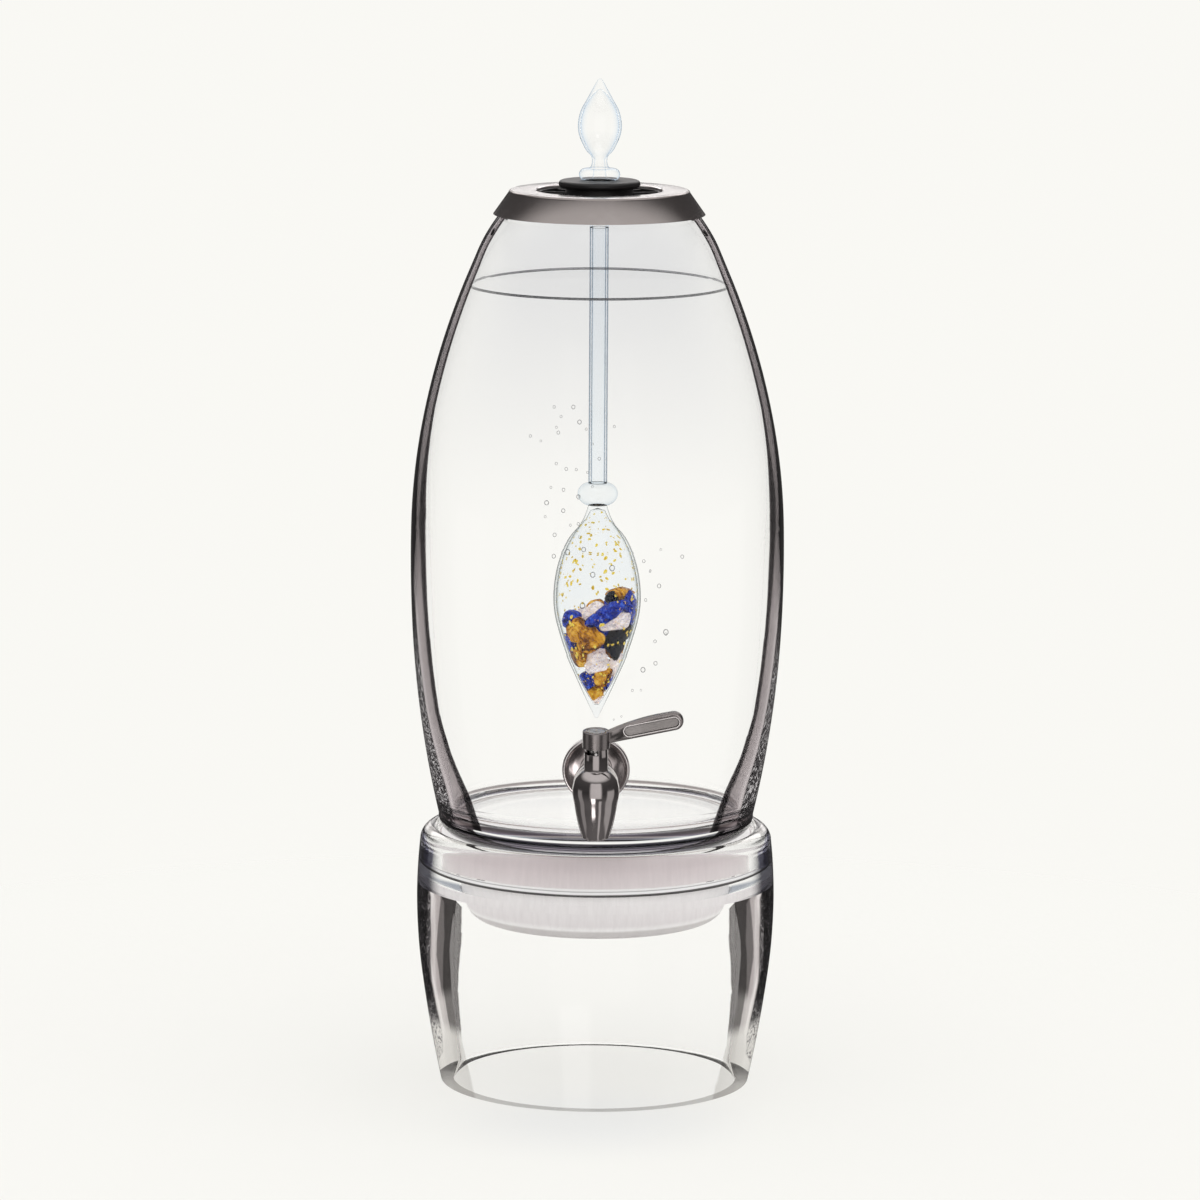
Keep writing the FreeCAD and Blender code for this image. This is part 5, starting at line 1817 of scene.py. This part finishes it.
@dataclass
class Stones:
    """The tumbled stones in the drop."""

    gap: float = 0.6
    heap: Sequence[Pebble] = (
        Pebble(BLUE, 20.5, -6, 289.7, 4, 6, 9), Pebble(AMBER, 14, 2, 296, 7.5, 6, 3.5, 8),
        Pebble(DARK, 9, -3, 294.5, 4, 4.5, 3.4, 30), Pebble(BLUE, 5.5, -15, 287.7, 13, 5, 4, 30),
        Pebble(CLEAR, 13, -14, 282.6, 10, 5, 5, 14), Pebble(DARK, 12, -12.5, 269.4, 6.7, 5, 8.6),
        Pebble(DARK, 18.5, -7, 276, 4, 5, 4.5), Pebble(AMBER, -12, -12, 277, 5.8, 5, 6.8, -30),
        Pebble(AMBER, -4, -15, 272, 7.5, 5.5, 7.5, 20), Pebble(BLUE, -17.5, -7, 269.4, 4.8, 5, 6),
        Pebble(AMBER, -11, -9, 260.8, 7.5, 5, 5, -12), Pebble(CLEAR, 0, -11, 257.8, 7, 5, 6, 20),
        Pebble(BLUE, -6, -5, 246.5, 7.5, 4.5, 4.6, 28), Pebble(AMBER, 4.5, -7, 249, 6, 4.5, 6.2, 30),
        Pebble(AMBER, -1.5, -2, 238.5, 6, 4, 4.2, 25), Pebble(CLEAR, 12.5, -4, 254, 5, 5, 9),
        Pebble(BLUE, 8.5, -5, 245, 2.5, 2.5, 4, -20), Pebble(CLEAR, 2, 0, 233.3, 3.5, 3.5, 5),
        Pebble(BLUE, 11, 12, 288, 7, 6, 5.5, 15), Pebble(AMBER, 1, 15, 284, 7, 6, 5.5, -10),
        Pebble(CLEAR, -9, 13, 280, 6.5, 6, 5, 20), Pebble(BLUE, -15, 4, 280.5, 6, 6.5, 5, -15),
        Pebble(CLEAR, 1, 0, 285, 8, 7, 5.5), Pebble(CLEAR, 15, 7, 277, 6, 6, 5.5),
        Pebble(DARK, 6, 13, 274, 6, 5.5, 5.5, 25), Pebble(BLUE, -5, 12.5, 270.5, 6, 5.5, 6, -20),
        Pebble(AMBER, -14, 5, 268, 5, 6, 5.5), Pebble(BLUE, 2, 1, 271, 7, 6, 6),
        Pebble(AMBER, 11, 6, 264, 5.5, 5.5, 6, 12), Pebble(CLEAR, 2, 9, 262, 5.5, 5, 5.5),
        Pebble(BLUE, -7, 6, 258.5, 5.5, 5, 5.5, 15), Pebble(AMBER, 5, 4, 253, 5, 5, 5, -15),
        Pebble(CLEAR, -2, 5, 250, 4.5, 4, 5, 10), Pebble(BLUE, 2.5, 3.5, 242.5, 4, 3.8, 4.5),
    )

    def build(self, wand: Wand) -> None:
        """Make the stones of each kind as one piece.

        Args:
            wand: the wand that holds them.
        """
        hollow = wand.hollow()
        ball, sides = icosphere(4)
        for kind in StoneKind:
            verts: list[Vector] = []
            faces: Faces = []
            for seed, pebble in enumerate(self.heap):
                if pebble.kind is kind:
                    faces.extend(tuple(len(verts) + corner for corner in side) for side in sides)
                    verts.extend(corner * MM for corner in pebble.shape(seed, ball))
            mesh = bpy.data.meshes.new(f"stones_{kind.value}_heap")
            mesh.from_pydata(verts, [], faces)
            keep_inside(mesh, hollow, self.gap)
            smooth(mesh, 60.0)
            slot, node = f"{kind.value}_stone", f"stones_{kind.value}"
            finish_piece(placed(f"{kind.value}_stones", mesh), Body.WAND, [STONES[kind]], node)


def icosphere(level: int) -> tuple[list[Vector], Faces]:
    """Corners and faces of a unit ball made of even triangles.

    Args:
        level: how many times each triangle is cut into four.

    Returns:
        The corners and the faces.
    """
    golden = (1.0 + math.sqrt(5.0)) / 2.0
    corners = []
    for a in (-1.0, 1.0):
        for b in (-golden, golden):
            corners += [Vector((a, b, 0.0)), Vector((0.0, a, b)), Vector((b, 0.0, a))]
    corners = [corner.normalized() for corner in corners]
    near = min((corners[0] - other).length for other in corners[1:]) * 1.01
    faces: Faces = []
    for trio in itertools.combinations(range(12), 3):
        a, b, c = (corners[place] for place in trio)
        if max((a - b).length, (b - c).length, (c - a).length) < near:
            faces.append(trio if (b - a).cross(c - a).dot(a) > 0 else (trio[0], trio[2], trio[1]))
    for _ in range(level):
        middles: dict[tuple[int, ...], int] = {}
        finer: Faces = []
        for face in faces:
            halves = []
            for place in range(3):
                key = tuple(sorted((face[place], face[(place + 1) % 3])))
                if key not in middles:
                    middles[key] = len(corners)
                    corners.append((corners[key[0]] + corners[key[1]]).normalized())
                halves.append(middles[key])
            finer += [(face[place], halves[place], halves[place - 1]) for place in range(3)] + [tuple(halves)]
        faces = finer
    return corners, faces


@dataclass
class Tap:
    """The lever tap: plated castings, the lever's trim and its repainted small parts."""

    place: TapPlace
    reach: float = 46.0
    panel_end: Station = (45.2, 43.0)
    panel_inset: float = 0.6
    panel_length: float = 26.6
    panel_radius: float = 3.0
    panel_depth: float = 0.6
    paddle_thick: float = 4.4
    slope: float = 11.96
    groove: float = 0.5
    border: float = 0.55
    sunk: float = 0.1
    panel_rise: float = 0.2
    border_rise: float = 0.15
    end_steps: int = 24

    def slot_body(self, radius: float, inner: float, low: float, high: float) -> bpy.types.Mesh:
        """A slot-shaped plate, or ring, on both faces of the paddle.

        Args:
            radius: radius of its outline's ends.
            inner: radius of its inside, 0 for a plate.
            low: distance of its back from the paddle's middle plane.
            high: distance of its front from the same plane.

        Returns:
            The mesh in the scene's frame.
        """
        slope = math.radians(self.slope)
        along = Vector((math.cos(slope), math.sin(slope)))
        across = Vector((-along.y, along.x))
        far = Vector(self.panel_end) - across * self.panel_inset
        ends = ((far, slope - math.pi / 2.0), (far - along * self.panel_length, slope + math.pi / 2.0))
        rings = [(radius, low), (radius, high)] + ([(inner, high), (inner, low)] if inner else [])
        build = bmesh.new()
        for side in (-1.0, 1.0):
            loops = []
            for size, depth in rings:
                loops.append([])
                for end, start in ends:
                    for step in range(self.end_steps + 1):
                        turn = start + math.pi * step / self.end_steps
                        spot = end + Vector((math.cos(turn), math.sin(turn))) * size
                        loops[-1].append(build.verts.new((spot.x, -self.reach + side * depth, spot.y)))
            pairs = zip(loops, loops[1:] + loops[:1]) if inner else [loops]
            for first, second in pairs:
                for n in range(len(first)):
                    build.faces.new((first[n - 1], first[n], second[n], second[n - 1]))
            if not inner:
                for loop in loops:
                    build.faces.new(loop)
        bmesh.ops.recalc_face_normals(build, faces=build.faces)
        mesh = bpy.data.meshes.new("slot_body")
        build.to_mesh(mesh)
        build.free()
        mesh.transform(self.place.matrix())
        return mesh

    @staticmethod
    def merged_copy(node: str, name: str) -> bpy.types.Object:
        """Smooth-shaded copy of a CAD node, with its loose triangles joined.

        Args:
            node: the node's name.
            name: the copy's name.

        Returns:
            The copy.
        """
        piece = placed(name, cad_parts[node].data.copy())
        piece.modifiers.new("weld", "WELD").merge_threshold = 0.002 * MM
        piece = baked(piece, name)
        smooth(piece.data)
        return piece

    def build(self) -> None:
        """Make and dress the tap."""
        for node, name, body, finish in (
            ("tap_body", "tap_casting", Body.JAR, TAP_POLISH),
            ("tap_rosette", "tap_rose", Body.JAR, ROSE_POLISH),
            ("tap_lever", "tap_handle", Body.LEVER, LEVER_SATIN),
        ):
            finish_piece(self.merged_copy(node, name), body, [finish], node)
        face = self.paddle_thick / 2.0
        floor, radius = face - self.panel_depth, self.panel_radius
        for name, outer, inner, level, rise, finish in (
            ("lever_panel", radius - self.groove, 0.0, floor, self.panel_rise, PANEL_GRAIN),
            ("lever_border", radius + self.border, radius, face, self.border_rise, BORDER_SATIN),
        ):
            mesh = self.slot_body(outer, inner, level - self.sunk, level + rise)
            finish_piece(placed(name, mesh), Body.LEVER, [finish])
        repaint(TAP_POLISH, "lever_screw", "shank_nut", "shank_washer")
        repaint(STEEL, "tap_plug", "plug_circlip", "stop_pin")
        repaint(CLEAR_SILICONE, "outer_gasket", "inner_gasket")
        repaint(DARK_SILICONE, "plug_o_rings")


@dataclass(frozen=True)
class SoftBox:
    """One bright panel of the studio, in degrees about the object.

    Args:
        turn: azimuth of its middle, 0 towards the tap.
        half: half its width.
        low: lowest elevation.
        high: highest elevation.
        strength: brightness.
        blur: how far its low and high edges fade.
        edge: how far its sides fade.
    """

    turn: float
    half: float
    low: float
    high: float
    strength: float
    blur: float = 0.012
    edge: float = 0.7

    def light(self, graph: Graph, turn: Wire, level: Wire) -> Wire:
        """Share of the panel in each direction.

        Args:
            graph: the world's builder.
            turn: azimuth of the direction, in radians.
            level: its height, 0 straight down and 1 straight up.

        Returns:
            1 in the panel, 0 outside and less than 1 at its soft edges.
        """
        low, high = ((math.sin(math.radians(rise)) + 1.0) / 2.0 for rise in (self.low, self.high))
        above = graph.step(level, low - self.blur, low + self.blur)
        over = graph.step(level, high - self.blur, high + self.blur)
        side = math.cos(math.radians(self.half))
        soft = (1.0 - side) * self.edge
        beam = graph.math("COSINE", turn - math.radians(self.turn))
        return graph.step(beam, side - soft, side + soft * 0.5) * (above * (1.0 - over))


@dataclass
class Studio:
    """Floor, soft light and camera, whose place and sight are in metres."""

    backdrop: Triple = (0.949, 0.942, 0.905)
    room: Triple = (0.78, 0.78, 0.78)
    floor_radius: float = 1000.0
    floor_top: float = -0.05
    floor_thick: float = 2.0
    distance: float = 4.055
    eye_height: float = 0.9482
    eye_shift: float = 0.00176
    pitch: float = 9.16
    roll: float = 0.34
    lens: float = 204.2
    sensor: float = 36.0
    sight: float = 50.0
    sun: float = 0.8
    sun_width: float = 60.0
    sun_tilt: Station = (14.0, 6.0)
    softboxes: Sequence[SoftBox] = (
        SoftBox(0.0, 26.0, -27.0, 30.0, 0.85), SoftBox(-14.0, 10.0, -44.0, -27.0, 3.2),
        SoftBox(26.0, 7.0, -60.0, -37.0, 0.7), SoftBox(80.0, 20.0, -42.0, -2.0, 0.55),
        SoftBox(-85.0, 12.0, -42.0, -2.0, 0.4), SoftBox(180.0, 25.0, 16.0, 32.0, 2.2),
        SoftBox(180.0, 14.0, 4.0, 10.5, 1.15),
    )
    gloss: Stops = (
        (0, 0.24, 0.23, 0.23), (0.3, 0.1, 0.095, 0.095), (0.44, 0.05, 0.047, 0.047),
        (0.54, 0.07, 0.067, 0.067), (0.76, 0.1, 0.095, 0.095), (0.87, 0.88, 0.865, 0.855),
        (1, 0.92, 0.9, 0.89),
    )
    glass: Stops = ((0.7, 0.36, 0.39, 0.43), (0.9, 0.4, 0.43, 0.47), (0.94, 1, 1, 1), (1, 1, 1, 1))

    def build_floor(self) -> None:
        """A pale disc whose edge fades into the backdrop."""
        wide, top = self.floor_radius, self.floor_top
        section = Profile(0.0, top - self.floor_thick).line(wide, top - self.floor_thick)
        floor = placed("floor", turned("floor", section.line(wide, top).line(0.0, top), 96))
        floor.data.materials.append(Paper("floor_paper").material())
        floor.visible_glossy = False

    def build_world(self) -> None:
        """Even soft light, with a studio of bright and dark zones for gloss and glass to show."""
        world = bpy.data.worlds.new("studio")
        bpy.context.scene.world = world
        graph = fresh_graph(world)
        way = graph.add("ShaderNodeTexCoord", None, None, "Generated")
        turn = graph.math("ARCTAN2", graph.part(way, 1), graph.part(way, 0)) + math.pi / 2.0
        level = graph.part(way, 2) * 0.5 + 0.5
        gloss = graph.ramp(level, self.gloss)
        for box in self.softboxes:
            colour = (box.strength, box.strength * 0.97, box.strength * 0.96)
            gloss = graph.blend(box.light(graph, turn, level), gloss, colour)
        pale = tuple(part * 1.01 for part in self.backdrop)
        glass = graph.ramp(level, ((0.0, *pale), (0.64, *pale), *self.glass))
        path = graph.add("ShaderNodeLightPath")
        light: Any = self.room
        for ray, seen in (("Glossy", gloss), ("Transmission", glass), ("Camera", self.backdrop)):
            light = graph.blend(path.out(f"Is {ray} Ray"), light, seen)
        background = graph.add("ShaderNodeBackground", None, {"Color": light, "Strength": 1.0})
        graph.add("ShaderNodeOutputWorld", None, {"Surface": background})

    def build_sun(self) -> None:
        """A wide lamp overhead that leaves a soft shadow under the stand."""
        lamp = bpy.data.lights.new("overhead", "SUN")
        lamp.energy, lamp.angle = self.sun, math.radians(self.sun_width)
        holder = placed("overhead", lamp)
        holder.visible_glossy = False
        holder.rotation_euler = (*map(math.radians, self.sun_tilt), 0.0)

    def build_camera(self) -> None:
        """Camera at the photograph's viewpoint."""
        data = bpy.data.cameras.new("camera")
        data.lens, data.sensor_width, data.clip_end = self.lens, self.sensor, self.sight
        camera = placed("camera", data)
        pitch = Matrix.Rotation(math.radians(90.0 - self.pitch), 4, "X")
        turn = pitch @ Matrix.Rotation(math.radians(self.roll), 4, "Z")
        camera.matrix_world = Matrix.Translation((self.eye_shift, -self.distance, self.eye_height)) @ turn
        bpy.context.scene.camera = camera

    def build(self) -> None:
        """Set the stage."""
        scene = bpy.context.scene
        scene.view_settings.view_transform = "Standard"
        scene.cycles.max_bounces = 32
        scene.cycles.transmission_bounces = 28
        scene.cycles.transparent_max_bounces = 48
        scene.cycles.glossy_bounces = 12
        self.build_floor()
        self.build_world()
        self.build_sun()
        self.build_camera()


def main() -> None:
    """Build every sub-assembly, then the studio."""
    logging.basicConfig(level=logging.INFO, format="%(name)s %(message)s")
    place, jar, wand = TapPlace(), GlassJar(), Wand()
    RingStand().build()
    FrostedBowl().build()
    jar.build_jar(place)
    jar.build_water()
    jar.build_bubbles()
    Lid().build()
    wand.build_seat()
    wand.build_stopper()
    wand.build_glass()
    wand.build_flakes()
    Stones().build(wand)
    Tap(place).build()
    Studio().build()


if __name__ == "__main__":
    main()
